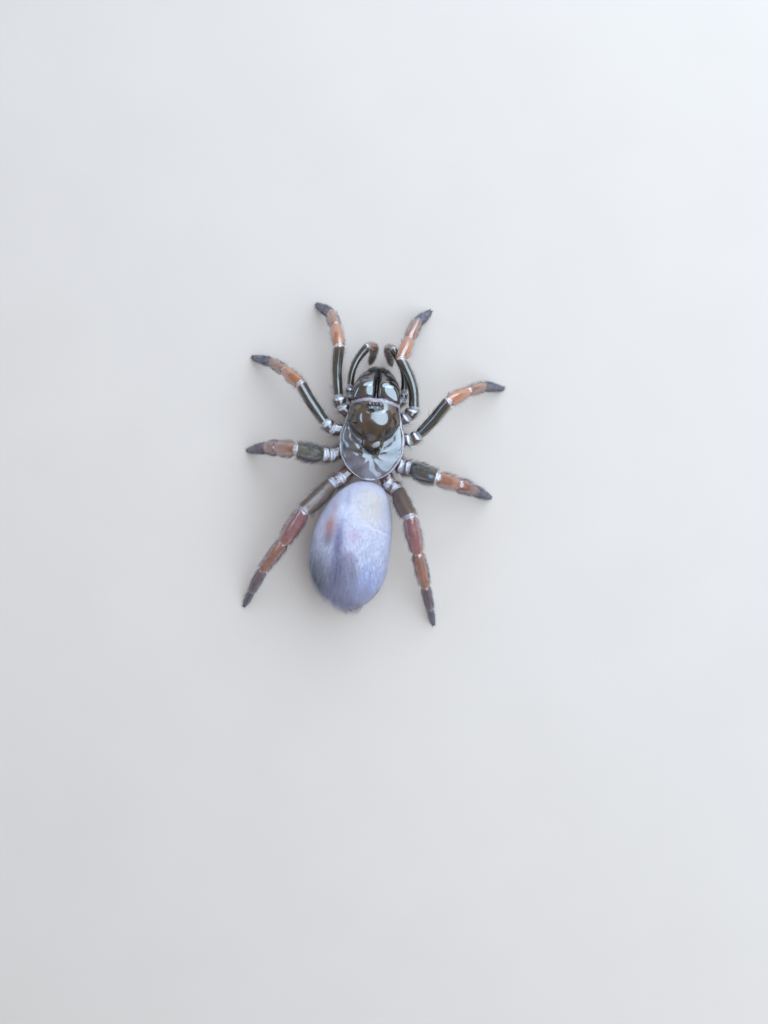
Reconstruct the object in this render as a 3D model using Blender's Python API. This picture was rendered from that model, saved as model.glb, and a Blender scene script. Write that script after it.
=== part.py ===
"""Trapdoor spider, an adult female at life size, standing on eight feet with her fangs folded.

Metres, +Z up. The head faces -Y and her left side is +X. The origin is the middle of the
footprint, on the floor. The body is built in its own frame, where the line from the waist to
the jaws is the Y axis and the rear edge of the carapace is at y = 0. An empty then carries
every part to the footprint's middle. Each part is one closed solid, and where two meet their
faces stay a thin cut apart.
"""

import math

import bmesh
import bpy
from mathutils import Vector

MM = 0.001
GAP = 0.3 * MM
LEFT, RIGHT = 1, -1
SIDE_NAMES = {LEFT: "left", RIGHT: "right"}
UP = Vector((0, 0, 1))

# Carapace: a shield over the front of the body, with a high head and a low rear
SEAM_Z = 5.2 * MM
RIM = 0.4 * MM
CARAPACE_LENGTH = 9.5 * MM
CARAPACE_HALF_WIDTH = 3.8 * MM
FRONT_HALF_WIDTH = 2.85 * MM
FRONT_BOW = 0.5 * MM
HEAD_HALF_WIDTH = 3.05 * MM
HEAD_END_HALF_WIDTH = 0.75 * MM
HEAD_CREST = 3.0 * MM
CLYPEUS_RISE = 1.5 * MM
THORAX_RISE = 1.15 * MM
CREST_SHARE = 0.28
FOVEA_SHARE = 0.66
FOVEA_DEPTH = 0.35 * MM
FOVEA_WIDTH = 0.3 * MM
FOVEA_HALF_SPAN = 0.8 * MM

# Eyes: a low mound near the front edge, set in a shallow socket
EYES_Y = -8.3 * MM
MOUND_HALF_WIDTH = 0.95 * MM
MOUND_HALF_LENGTH = 0.6 * MM
MOUND_DEPTH = 0.55 * MM
MOUND_RISE = 0.3 * MM

# Underside: breast plate and lip
STERNUM_FRONT_Y = -7.3 * MM
STERNUM_REAR_Y = -2.3 * MM
STERNUM_HALF_WIDTH = 1.6 * MM
STERNUM_BOTTOM_Z = 3.2 * MM
LABIUM_Y = -7.95 * MM
LABIUM_HALF_WIDTH = 0.55 * MM
LABIUM_HALF_LENGTH = 0.35 * MM
LABIUM_BOTTOM_Z = 3.45 * MM

# Jaws: two stout chelicerae side by side, each with a folded fang
JAW_LENGTH = 3.4 * MM
JAW_HALF_WIDTH = 2.85 * MM
JAW_TOP_Z = 7.1 * MM
JAW_ARCH = 0.25 * MM
JAW_FALL = 2.6 * MM
JAW_BOTTOM_Z = 4.95 * MM
JAW_DEEPENING = 2.1 * MM
JAW_TUCK = 0.9 * MM
FANG_ROOT = (0.95, -12.55, 2.15)
FANG_POINT = (0.6, -10.0, 1.95)
FANG_SAG = Vector((0, -0.25 * MM, -0.55 * MM))
FANG_THICKNESS = 0.8 * MM
FANG_TIP = 0.16 * MM

# Waist and abdomen
WAIST_HALF_WIDTH = 0.5 * MM
WAIST_Z = 4.6 * MM
ABDOMEN_FRONT = Vector((0.15 * MM, 0.35 * MM, 4.8 * MM))
ABDOMEN_REAR = Vector((1.1 * MM, 15.0 * MM, 4.2 * MM))
ABDOMEN_HALF_WIDTH = 4.65 * MM
ABDOMEN_HALF_HEIGHT = 4.1 * MM
ABDOMEN_SWING = 0.7 * MM
ABDOMEN_ARCH = 1.0 * MM
WIDEST_SHARE = 0.56
BLUNT_END = 0.04
SPINNERET_LENGTH = 1.5 * MM
SPINNERET_THICKNESS = 0.75 * MM
SPINNERET_PROFILE = (
    (0, 1),
    (0.3, 1.05),
    (0.42, 0.84),
    (0.66, 0.86),
    (0.74, 0.64),
    (0.92, 0.55),
    (1, 0.3),
)

# Legs. Lengths in mm of trochanter, femur, patella, tibia, metatarsus and tarsus.
LEG_LENGTHS = {
    1: (1.3, 5.9, 3.5, 3.2, 2.3, 1.5),
    2: (1.2, 5.4, 3.5, 3.1, 2.4, 1.6),
    3: (1.1, 4.2, 3.2, 2.7, 2.6, 1.8),
    4: (1.3, 5.2, 4.8, 4.9, 3.7, 2.4),
}
# Widths in mm at the root, middle and end of each segment, then its depth for one of width.
LEG_WIDTHS = {
    1: {
        "coxa": (1.1, 1.35, 1.5, 0.95),
        "trochanter": (1.45, 1.6, 1.4, 1.0),
        "femur": (1.2, 1.2, 1.4, 1.2),
        "patella": (1.35, 1.6, 1.3, 1.0),
        "tibia": (1.2, 1.35, 1.15, 1.0),
        "metatarsus": (1.0, 1.05, 0.9, 1.0),
        "tarsus": (0.85, 0.85, 0.6, 1.0),
    },
    2: {
        "coxa": (1.1, 1.35, 1.5, 0.95),
        "trochanter": (1.45, 1.6, 1.4, 1.0),
        "femur": (1.25, 1.4, 1.4, 1.15),
        "patella": (1.35, 1.6, 1.3, 1.0),
        "tibia": (1.15, 1.25, 1.1, 1.0),
        "metatarsus": (0.95, 1.0, 0.85, 1.0),
        "tarsus": (0.85, 0.85, 0.6, 1.0),
    },
    3: {
        "coxa": (1.1, 1.45, 1.7, 0.95),
        "trochanter": (1.7, 1.9, 1.7, 0.95),
        "femur": (1.7, 2.25, 1.75, 0.95),
        "patella": (1.6, 1.85, 1.6, 0.95),
        "tibia": (1.5, 1.65, 1.3, 1.0),
        "metatarsus": (1.15, 1.2, 1.0, 1.0),
        "tarsus": (0.95, 0.9, 0.6, 1.0),
    },
    4: {
        "coxa": (1.35, 1.55, 1.7, 0.95),
        "trochanter": (1.7, 1.9, 1.7, 0.95),
        "femur": (1.65, 2.0, 1.7, 1.05),
        "patella": (1.55, 1.85, 1.5, 1.0),
        "tibia": (1.35, 1.45, 1.2, 1.0),
        "metatarsus": (1.05, 1.05, 0.9, 1.0),
        "tarsus": (0.8, 0.78, 0.55, 1.0),
    },
}
# Where the hips start beside the breast plate, and where they end, in mm from the waist.
HIP_ROOTS = {1: (1.85, -6.95), 2: (1.8, -5.55), 3: (1.8, -4.2), 4: (1.4, -2.15)}
HIP_ENDS = {
    (1, LEFT): (4.0, -8.4),
    (1, RIGHT): (3.9, -7.9),
    (2, LEFT): (4.8, -5.7),
    (2, RIGHT): (4.5, -5.2),
    (3, LEFT): (4.7, -2.6),
    (3, RIGHT): (3.8, -1.9),
    (4, LEFT): (3.2, 0.0),
    (4, RIGHT): (2.4, 0.2),
}
HIP_ROOT_Z = 4.05 * MM
HIP_END_Z = 4.25 * MM
# Headings in degrees out from straight ahead, then rises in degrees, of the trochanter, femur,
# patella and tibia. The last heading is the foot's, whose fall follows from the floor.
LEG_POSES = {
    (1, LEFT): ((20, 3, 16, 23, 52), (19, 27, -38, -45)),
    (1, RIGHT): ((32, -22, 14, 18, 35), (18, 20, -35, -33)),
    (2, LEFT): ((53, 38, 52, 58, 73), (19, 27, -39, -41)),
    (2, RIGHT): ((51, 37, 53, 61, 80), (18, 28, -38, -39)),
    (3, LEFT): ((89, 90, 86, 87, 97), (26, 49, -45, -52)),
    (3, RIGHT): ((86, 109, 99, 102, 103), (13, 42, -39, -37)),
    (4, LEFT): ((125, 142, 150, 146, 155), (13, 32, -25, -27)),
    (4, RIGHT): ((120, 152, 161, 161, 161), (6, 50, -31, -29)),
}
FEMUR_BOWS = {(1, LEFT): 0.2, (1, RIGHT): 0.5}
PLAIN_BOW = 0.1
TOE_Z = 0.1 * MM
TOE_REACH = 0.3 * MM
TOE_HALF_WIDTH = 0.24 * MM
LIMB_SIDES = 10

# Feelers. Lengths of trochanter, femur, patella, tibia and tarsus, and their headings and rises.
PALP_LENGTHS = (0.9, 5.1, 1.8, 1.9, 1.4)
PALP_POSES = {
    LEFT: ((4, -19, -60, 175, 160), (10, 14, -60, -74, -45)),
    RIGHT: ((6, -21, -50, 170, 155), (10, 14, -64, -74, -45)),
}
PALP_ROOT = (1.35, -8.05)
PALP_HIP_END = (3.15, -9.95)
PALP_ROOT_Z = 3.95 * MM
PALP_HIP_END_Z = 3.75 * MM
PALP_BOW = 0.55
PALP_WIDTHS = {
    "coxa": (0.9, 1.2, 1.0, 0.95),
    "trochanter": (0.9, 1.0, 0.85, 1.0),
    "femur": (0.8, 0.85, 0.95, 1.2),
    "patella": (0.9, 1.0, 0.9, 1.0),
    "tibia": (0.85, 0.9, 0.8, 1.0),
    "tarsus": (0.75, 0.75, 0.45, 1.0),
}


def clear_scene():
    for thing in list(bpy.data.objects):
        bpy.data.objects.remove(thing)


def finish(name, colour, roughness):
    made = bpy.data.materials.new(name)
    made.use_nodes = True
    shader = made.node_tree.nodes["Principled BSDF"]
    shader.inputs["Base Color"].default_value = (*colour, 1)
    shader.inputs["Roughness"].default_value = roughness
    shader.inputs["Metallic"].default_value = 0
    return made


def smooth_share(low, high, value):
    share = min(1, max(0, (value - low) / (high - low)))
    return share * share * (3 - 2 * share)


def mesh_object(name, bm, root, material, parent):
    """Stores a closed bmesh as an object whose origin is its root."""
    bmesh.ops.recalc_face_normals(bm, faces=bm.faces)
    bmesh.ops.translate(bm, vec=-root, verts=bm.verts)
    mesh = bpy.data.meshes.new(name)
    bm.to_mesh(mesh)
    bm.free()
    mesh.shade_smooth()
    mesh.set_sharp_from_angle(angle=math.radians(50))
    mesh.materials.append(material)
    made = bpy.data.objects.new(name, mesh)
    made.location = root
    made.parent = parent
    bpy.context.scene.collection.objects.link(made)
    return made


def loft(rings):
    """A closed skin through rings of equally many points, flat at both ends."""
    bm = bmesh.new()
    rows = [[bm.verts.new(point) for point in ring] for ring in rings]
    count = len(rows[0])
    for row, following in zip(rows, rows[1:]):
        for k in range(count):
            n = (k + 1) % count
            bm.faces.new((row[k], row[n], following[n], following[k]))
    bm.faces.new(rows[0])
    bm.faces.new(rows[-1])
    return bm


def oval(centre, across, upwards, half_width, half_height, count):
    turns = [2 * math.pi * k / count for k in range(count)]
    return [
        centre + across * (half_width * math.cos(a)) + upwards * (half_height * math.sin(a))
        for a in turns
    ]


# Carapace


def carapace_half_width(share):
    """Half of the shield's width, from its front edge at 0 to its rear at 1."""
    if share < 0.5:
        swell = smooth_share(0.0, 0.5, share)
        return FRONT_HALF_WIDTH + (CARAPACE_HALF_WIDTH - FRONT_HALF_WIDTH) * swell
    rear = (share - 0.5) / 0.5
    return CARAPACE_HALF_WIDTH * max(0, 1 - rear**2.4) ** 0.6


def head_half_width(share):
    narrowing = smooth_share(0.25, FOVEA_SHARE, share)
    return HEAD_HALF_WIDTH - (HEAD_HALF_WIDTH - HEAD_END_HALF_WIDTH) * narrowing


def head_rise(share):
    if share < CREST_SHARE:
        climb = math.sin(math.pi / 2 * share / CREST_SHARE)
        return CLYPEUS_RISE + (HEAD_CREST - CLYPEUS_RISE) * climb
    fall = min(1, (share - CREST_SHARE) / (FOVEA_SHARE - CREST_SHARE))
    return 0.6 * MM + (HEAD_CREST - 0.6 * MM) * math.cos(math.pi / 2 * fall) ** 2


def carapace_top(x, share):
    """Height of the shield's outer face: the head's dome over the thorax's, and the fovea."""
    width = carapace_half_width(share)
    out = min(1, abs(x) / width) if width > 0 else 1
    thorax = THORAX_RISE * (1 - share**4) ** 0.7 * (1 - out**2) ** 0.6
    over = min(1, abs(x) / min(head_half_width(share), width))
    head = head_rise(share) * (1 - over**2.2) ** 0.6
    if share > FOVEA_SHARE + 0.03:
        head = 0
    rise = max(thorax, head)
    y = (share - 1) * CARAPACE_LENGTH
    fovea_y = (FOVEA_SHARE - 1) * CARAPACE_LENGTH - 0.7 * x * x / MM
    groove = math.exp(-(((y - fovea_y) / FOVEA_WIDTH) ** 2) - (x / FOVEA_HALF_SPAN) ** 4)
    return SEAM_Z + RIM + rise - FOVEA_DEPTH * groove


def front_bow(x, share):
    """How far the front edge stands back away from the middle line."""
    return FRONT_BOW * (x / FRONT_HALF_WIDTH) ** 2 * (1 - share) ** 3


def carapace_ring(share):
    width = carapace_half_width(share)
    y = (share - 1) * CARAPACE_LENGTH
    columns = 20
    ring = []
    for k in range(columns + 1):
        x = width * math.sin(math.pi * (k / columns - 0.5))
        ring.append(Vector((x, y + front_bow(x, share), carapace_top(x, share))))
    floor_columns = 8
    for k in range(floor_columns + 1):
        x = width * (1 - 2 * k / floor_columns)
        ring.append(Vector((x, y + front_bow(x, share), SEAM_Z)))
    return ring


def carapace(material, parent):
    shares = [0, 0.03, 0.08, 0.14, 0.2, 0.26, 0.32, 0.38, 0.44, 0.5, 0.55, 0.59, 0.62, 0.65]
    shares += [0.68, 0.71, 0.76, 0.81, 0.86, 0.9, 0.94, 0.97, 0.99]
    bm = loft([carapace_ring(share) for share in shares])
    shield = mesh_object("carapace", bm, Vector((0, 0, SEAM_Z)), material, parent)
    cut = eye_socket(parent)
    socket = shield.modifiers.new("eye socket", "BOOLEAN")
    socket.operation = "DIFFERENCE"
    socket.object = cut
    return shield


# Eyes


def eyes_share():
    return 1 + EYES_Y / CARAPACE_LENGTH


def mound_rings(growth, bottom_z, top_z, doming):
    """An oval plug under the eyes, with a domed top."""
    centre = Vector((0, EYES_Y, 0))
    across, along = Vector((1, 0, 0)), Vector((0, 1, 0))
    rings = []
    levels = [(1, bottom_z), (1, top_z)]
    levels += [(math.cos(a), top_z + doming * math.sin(a)) for a in (0.5, 0.95, 1.3)]
    for share, z in levels:
        half_width = (MOUND_HALF_WIDTH + growth) * share
        half_length = (MOUND_HALF_LENGTH + growth) * share
        rings.append(oval(centre + UP * z, across, along, half_width, half_length, 20))
    return rings


def eye_socket(parent):
    surface = carapace_top(0, eyes_share())
    bottom = surface - MOUND_DEPTH - GAP
    bm = loft(mound_rings(GAP * 0.8, bottom, surface + 2 * MM, 0.2 * MM))
    cut = mesh_object("eye_socket_cutter", bm, Vector((0, EYES_Y, bottom)), None, parent)
    cut.hide_render = True
    cut.display_type = "WIRE"
    return cut


def eye_places():
    """Each eye's place on the mound, its radius, and how far it stands out sideways."""
    places = []
    for side in (LEFT, RIGHT):
        places.append((side * 0.20 * MM, -0.24 * MM, 0.17 * MM))
        places.append((side * 0.62 * MM, -0.28 * MM, 0.22 * MM))
        places.append((side * 0.60 * MM, 0.24 * MM, 0.18 * MM))
        places.append((side * 0.32 * MM, 0.20 * MM, 0.14 * MM))
    return places


def eyes(material, parent):
    surface = carapace_top(0, eyes_share())
    bottom = surface - MOUND_DEPTH
    shoulder = surface + 0.02 * MM
    plug = loft(mound_rings(0, bottom, shoulder, MOUND_RISE))
    mound = mesh_object("eyes", plug, Vector((0, EYES_Y, bottom)), material, parent)
    pieces = bpy.data.collections.new("eye lenses")
    for x, y, radius in eye_places():
        out = math.hypot(x / MOUND_HALF_WIDTH, y / MOUND_HALF_LENGTH)
        z = shoulder + MOUND_RISE * math.sqrt(max(0, 1 - out**2)) - 0.15 * radius
        bm = bmesh.new()
        bmesh.ops.create_uvsphere(bm, u_segments=10, v_segments=6, radius=radius)
        bmesh.ops.translate(bm, vec=Vector((x, EYES_Y + y, z)), verts=bm.verts)
        lens = mesh_object("eye lens", bm, Vector((0, EYES_Y, bottom)), material, parent)
        bpy.context.scene.collection.objects.unlink(lens)
        pieces.objects.link(lens)
    bpy.context.scene.collection.children.link(pieces)
    join_collection(mound, pieces)
    return mound


def join_collection(target, pieces):
    """Fuses a collection of closed meshes into the target, applies it, and removes them."""
    union = target.modifiers.new("joined", "BOOLEAN")
    union.operation = "UNION"
    union.operand_type = "COLLECTION"
    union.collection = pieces
    union.solver = "EXACT"
    bpy.context.view_layer.update()
    graph = bpy.context.evaluated_depsgraph_get()
    fused = bpy.data.meshes.new_from_object(target.evaluated_get(graph))
    target.modifiers.remove(union)
    target.data = fused
    for thing in list(pieces.objects):
        bpy.data.objects.remove(thing)
    bpy.data.collections.remove(pieces)


# Underside


def plate_ring(z, half_width, half_length, centre_y, squareness, count=20):
    """A level ring narrower in front. A high squareness brings it nearer a rectangle."""
    ring = []
    for k in range(count):
        a = 2 * math.pi * k / count
        c, s = math.cos(a), math.sin(a)
        taper = 0.88 + 0.12 * s
        x = math.copysign(abs(c) ** (2 / squareness), c) * half_width * taper
        y = math.copysign(abs(s) ** (2 / squareness), s) * half_length
        ring.append(Vector((x, centre_y + y, z)))
    return ring


def sternum(material, parent):
    centre = (STERNUM_FRONT_Y + STERNUM_REAR_Y) / 2
    half_length = (STERNUM_REAR_Y - STERNUM_FRONT_Y) / 2
    top = SEAM_Z - GAP
    levels = [
        (STERNUM_BOTTOM_Z, 0.55),
        (STERNUM_BOTTOM_Z + 0.15 * MM, 0.85),
        (STERNUM_BOTTOM_Z + 0.45 * MM, 1.0),
        (top, 1.0),
    ]
    rings = [
        plate_ring(z, STERNUM_HALF_WIDTH * s, half_length * s, centre, 2.8) for z, s in levels
    ]
    mesh_object("sternum", loft(rings), Vector((0, centre, top)), material, parent)


def labium(material, parent):
    top = SEAM_Z - GAP
    levels = [(LABIUM_BOTTOM_Z, 0.6), (LABIUM_BOTTOM_Z + 0.2 * MM, 1.0), (top, 1.0)]
    rings = [
        plate_ring(z, LABIUM_HALF_WIDTH * s, LABIUM_HALF_LENGTH * s, LABIUM_Y, 3, 14)
        for z, s in levels
    ]
    mesh_object("labium", loft(rings), Vector((0, LABIUM_Y, top)), material, parent)


# Jaws


def jaw_outer(share):
    """Distance of the jaw's outer face from the middle line, from its root at 0 to its end."""
    return JAW_HALF_WIDTH * (1 - (share * 0.97) ** 2.2) ** 0.55


def jaw_top(share):
    """Height of the jaw's arched back, which falls away to the front."""
    arch = JAW_ARCH * math.sin(math.pi * min(1, share * 1.6))
    return JAW_TOP_Z + arch - JAW_FALL * share**2.6


def jaw_bottom(share):
    """Height of the jaw's underside: it deepens to the fang's hinge, then turns up."""
    deepening = JAW_DEEPENING * smooth_share(0.0, 0.75, share)
    return JAW_BOTTOM_Z - deepening + JAW_TUCK * smooth_share(0.8, 1.0, share)


def chelicera(side, material, parent):
    root_y = -CARAPACE_LENGTH - GAP
    inner = GAP / 2
    rings = []
    for share in (0, 0.12, 0.26, 0.4, 0.54, 0.67, 0.78, 0.87, 0.94, 1.0):
        outer = jaw_outer(share)
        half_width = (outer - inner) / 2
        middle_x = inner + half_width
        top, bottom = jaw_top(share), jaw_bottom(share)
        ring = []
        for k in range(16):
            a = 2 * math.pi * k / 16
            c, s = math.cos(a), math.sin(a)
            x = middle_x + half_width * math.copysign(abs(c) ** 0.75, c)
            z = (top + bottom) / 2 + (top - bottom) / 2 * math.copysign(abs(s) ** 0.8, s)
            bow = front_bow(x, 0) * (1 - share) ** 2
            ring.append(Vector((side * x, root_y - JAW_LENGTH * share + bow, z)))
        rings.append(ring)
    root = Vector((side * JAW_HALF_WIDTH / 2, root_y, 6 * MM))
    mesh_object(f"chelicera_{SIDE_NAMES[side]}", loft(rings), root, material, parent)


def fang(side, material, parent):
    """A curved spike, hinged under the end of its jaw and folded back beneath it."""
    mirrored = Vector((side, 1, 1)) * MM
    root = Vector(FANG_ROOT) * mirrored
    tip = Vector(FANG_POINT) * mirrored
    across = Vector((1, 0, 0))
    rings = []
    steps = 9
    for k in range(steps + 1):
        share = k / steps
        bend = math.sin(math.pi * share**0.8)
        centre = root.lerp(tip, share) + FANG_SAG * bend
        slope = (tip - root) + FANG_SAG * (math.pi * math.cos(math.pi * share**0.8))
        upwards = across.cross(slope).normalized()
        half = (FANG_THICKNESS * (1 - share) ** 0.75 + FANG_TIP) / 2
        rings.append(oval(centre, across, upwards, half, half, 10))
    mesh_object(f"fang_{SIDE_NAMES[side]}", loft(rings), root, material, parent)


# Waist and abdomen


def pedicel(material, parent):
    front = Vector((0, STERNUM_REAR_Y + GAP, WAIST_Z))
    rear = Vector((ABDOMEN_FRONT.x, ABDOMEN_FRONT.y - GAP, WAIST_Z + 0.05 * MM))
    across = Vector((1, 0, 0))
    rings = []
    for share, swell in ((0, 0.9), (0.25, 0.75), (0.5, 0.7), (0.8, 0.85), (1, 1)):
        centre = front.lerp(rear, share)
        half_height = WAIST_HALF_WIDTH * 0.55 * swell
        rings.append(oval(centre, across, UP, WAIST_HALF_WIDTH * swell, half_height, 12))
    mesh_object("pedicel", loft(rings), front, material, parent)


def abdomen_axis(share):
    straight = ABDOMEN_FRONT.lerp(ABDOMEN_REAR, share)
    swing = Vector((ABDOMEN_SWING, 0, ABDOMEN_ARCH)) * math.sin(math.pi * share)
    return straight + swing


def abdomen_swell(share):
    """The abdomen's girth for one at its widest: blunt in front, rounder behind."""
    if share < WIDEST_SHARE:
        front = 1 - share / WIDEST_SHARE
        return (1 - front**2.3) ** 0.52
    rear = (share - WIDEST_SHARE) / (1 - WIDEST_SHARE)
    return max(0, 1 - rear**2.2) ** 0.52


def abdomen(material, parent):
    across = Vector((1, 0, 0))
    rings = []
    shares = [0, 0.012, 0.035, 0.07, 0.12, 0.18, 0.25, 0.33, 0.42, 0.51, 0.6, 0.68, 0.76]
    shares += [0.83, 0.89, 0.935, 0.967, 0.987, 0.997, 1]
    for share in shares:
        swell = max(abdomen_swell(share), BLUNT_END)
        half_width = ABDOMEN_HALF_WIDTH * swell
        half_height = ABDOMEN_HALF_HEIGHT * swell
        rings.append(oval(abdomen_axis(share), across, UP, half_width, half_height, 24))
    mesh_object("abdomen", loft(rings), ABDOMEN_FRONT.copy(), material, parent)


def spinneret(side, material, parent):
    """One of the two rear spinnerets: short, of three joints, under the abdomen's end."""
    share = 0.88
    swell = abdomen_swell(share)
    turn = math.radians(-90 + side * 18)
    outward = Vector((math.cos(turn), 0, math.sin(turn)))
    radius = Vector((ABDOMEN_HALF_WIDTH * outward.x, 0, ABDOMEN_HALF_HEIGHT * outward.z))
    skin = abdomen_axis(share) + radius * swell
    heading = Vector((side * 0.12, 1, 0.12)).normalized()
    root = skin + Vector((0, 0.3 * MM, -0.45 * MM))
    across = heading.cross(UP).normalized()
    upwards = across.cross(heading)
    rings = []
    for along, swelling in SPINNERET_PROFILE:
        centre = root + heading * (SPINNERET_LENGTH * along)
        half = SPINNERET_THICKNESS / 2 * swelling
        rings.append(oval(centre, across, upwards, half, half, 10))
    mesh_object(f"spinneret_{SIDE_NAMES[side]}", loft(rings), root, material, parent)


# Legs and feelers


def heading_vector(side, heading, rise):
    """A direction on one side of the body, turned out from straight ahead and then raised."""
    turned, raised = math.radians(heading), math.radians(rise)
    level = math.cos(raised)
    return Vector((side * math.sin(turned) * level, -math.cos(turned) * level, math.sin(raised)))


def across_vector(side, heading):
    turned = math.radians(heading)
    return Vector((math.cos(turned), side * math.sin(turned), 0))


def segment_rings(start, end, across, widths, cuts, bow=Vector()):
    """Rings of one limb segment. Its end rings lie in the joint planes, moved back by the cuts.

    widths holds the width at the root, middle and end, and the depth for one of width. cuts
    holds, for each end, the joint plane's normal and how far from the joint the ring lies.
    """
    root_width, middle_width, end_width, depth = widths
    along = (end - start).normalized()
    length = (end - start).length
    upwards = across.cross(along)
    if upwards.z < 0:
        upwards = -upwards
    (first_normal, first_cut), (last_normal, last_cut) = cuts
    rings = []
    for share in (0, 0.16, 0.38, 0.62, 0.84, 1):
        straight = root_width + (end_width - root_width) * share
        belly = middle_width - (root_width + end_width) / 2
        half = MM * (straight + belly * math.sin(math.pi * share)) / 2
        ring = []
        for offset in oval(Vector(), across, upwards, half, half * depth, LIMB_SIDES):
            first = (first_cut - offset.dot(first_normal)) / along.dot(first_normal)
            last = (-last_cut - offset.dot(last_normal)) / along.dot(last_normal)
            slide = first * (1 - share) ** 2 + last * share**2
            place = start + along * (length * share + slide) + offset
            ring.append(place + bow * math.sin(math.pi * share))
        rings.append(ring)
    return rings


def joint_normal(before, after):
    return (before.normalized() + after.normalized()).normalized()


def limb(prefix, side, root, hip_end, headings, rises, lengths, widths, groups, bow):
    """A jointed limb: its segments from the hip out, fused in groups and parted at the joints."""
    steps = [hip_end - root]
    acrosses = [across_vector(side, math.degrees(math.atan2(side * steps[0].x, -steps[0].y)))]
    for heading, rise, length in zip(headings, rises, lengths):
        steps.append(heading_vector(side, heading, rise) * (length * MM))
        acrosses.append(across_vector(side, heading))
    joints = [root]
    for step in steps:
        joints.append(joints[-1] + step)
    normals = [joint_normal(Vector((side, 0, 0)), steps[0])]
    normals += [joint_normal(a, b) for a, b in zip(steps, steps[1:])]
    normals.append(steps[-1].normalized())
    names = list(widths)
    made = []
    for group in groups:
        rings = []
        for name in group:
            k = names.index(name)
            first_cut = 0 if name != group[0] else GAP / 2
            last_cut = 0 if name != group[-1] else GAP / 2
            if k == len(names) - 1:
                last_cut = 0
            cuts = ((normals[k], first_cut), (normals[k + 1], last_cut))
            sideways = acrosses[k] * side * (bow * MM) if name == "femur" else Vector()
            part = segment_rings(joints[k], joints[k + 1], acrosses[k], widths[name], cuts, sideways)
            rings += part if not rings else part[1:]
        made.append((f"{prefix}_{group[-1]}", rings, joints[names.index(group[0])]))
    return made, joints, steps


def toe_ring(toe, step):
    """The blunt end of a foot, just ahead of the last joint ring and flat on the floor."""
    ahead = Vector((step.x, step.y, 0)).normalized()
    across = UP.cross(ahead)
    centre = Vector((toe.x, toe.y, TOE_HALF_WIDTH * 0.7)) + ahead * TOE_REACH
    return oval(centre, across, UP, TOE_HALF_WIDTH, TOE_HALF_WIDTH * 0.8, LIMB_SIDES)


def on_floor(ring):
    return [Vector((point.x, point.y, max(0, point.z))) for point in ring]


def leg(number, side, materials, parent):
    key = (number, side)
    root_x, root_y = HIP_ROOTS[number]
    end_x, end_y = HIP_ENDS[key]
    root = Vector((side * root_x * MM, root_y * MM, HIP_ROOT_Z))
    hip_end = Vector((side * end_x * MM, end_y * MM, HIP_END_Z))
    headings, rises = LEG_POSES[key]
    lengths = LEG_LENGTHS[number]
    ankle_z = HIP_END_Z + sum(
        length * MM * math.sin(math.radians(rise)) for length, rise in zip(lengths, rises)
    )
    foot_length = (lengths[4] + lengths[5]) * MM
    fall = -math.degrees(math.asin((ankle_z - TOE_Z) / foot_length))
    groups = (("coxa",), ("trochanter", "femur"), ("patella",), ("tibia",), ("metatarsus", "tarsus"))
    made, joints, steps = limb(
        f"leg_{number}_{SIDE_NAMES[side]}",
        side,
        root,
        hip_end,
        (*headings, headings[-1]),
        (*rises, fall, fall),
        lengths,
        LEG_WIDTHS[number],
        groups,
        FEMUR_BOWS.get(key, PLAIN_BOW),
    )
    for (name, rings, origin), segment in zip(made, ("coxa", "femur", "patella", "tibia", "tarsus")):
        if segment == "tarsus":
            rings = rings + [toe_ring(joints[-1], steps[-1])]
        rings = [on_floor(ring) for ring in rings]
        mesh_object(name, loft(rings), origin, materials[segment], parent)


def palp(side, materials, parent):
    root = Vector((side * PALP_ROOT[0] * MM, PALP_ROOT[1] * MM, PALP_ROOT_Z))
    hip_end = Vector((side * PALP_HIP_END[0] * MM, PALP_HIP_END[1] * MM, PALP_HIP_END_Z))
    groups = (("coxa",), ("trochanter", "femur"), ("patella", "tibia"), ("tarsus",))
    made, _, _ = limb(
        f"palp_{SIDE_NAMES[side]}",
        side,
        root,
        hip_end,
        *PALP_POSES[side],
        PALP_LENGTHS,
        PALP_WIDTHS,
        groups,
        PALP_BOW,
    )
    for (name, rings, origin), segment in zip(made, ("coxa", "femur", "tibia", "tarsus")):
        mesh_object(name, loft(rings), origin, materials[segment], parent)


def centre_on_footprint(body):
    """Moves the whole spider so that the middle of its outline is over the origin."""
    bpy.context.view_layer.update()
    corners = []
    for thing in body.children:
        if not thing.hide_render:
            corners += [thing.matrix_world @ vertex.co for vertex in thing.data.vertices]
    for axis in (0, 1):
        places = [corner[axis] for corner in corners]
        body.location[axis] = -(min(places) + max(places)) / 2


def build():
    clear_scene()
    body = bpy.data.objects.new("spider", None)
    bpy.context.scene.collection.objects.link(body)
    shell = finish("carapace brown", (0.07, 0.035, 0.02), 0.15)
    jaw = finish("jaw black brown", (0.02, 0.01, 0.008), 0.15)
    lens = finish("eye black", (0.01, 0.01, 0.012), 0.05)
    hide = finish("abdomen grey", (0.45, 0.42, 0.47), 0.5)
    under = finish("underside red brown", (0.2, 0.07, 0.03), 0.3)
    limb_finishes = {
        "coxa": under,
        "femur": finish("femur olive brown", (0.06, 0.05, 0.03), 0.2),
        "patella": finish("patella orange brown", (0.35, 0.1, 0.03), 0.2),
        "tibia": finish("tibia orange brown", (0.3, 0.08, 0.03), 0.25),
        "tarsus": finish("tarsus grey brown", (0.1, 0.07, 0.07), 0.5),
    }
    carapace(shell, body)
    eyes(lens, body)
    sternum(under, body)
    labium(under, body)
    pedicel(under, body)
    abdomen(hide, body)
    for side in (LEFT, RIGHT):
        chelicera(side, jaw, body)
        fang(side, jaw, body)
        spinneret(side, hide, body)
        palp(side, limb_finishes, body)
        for number in LEG_LENGTHS:
            leg(number, side, limb_finishes, body)
    centre_on_footprint(body)


build()
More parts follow.
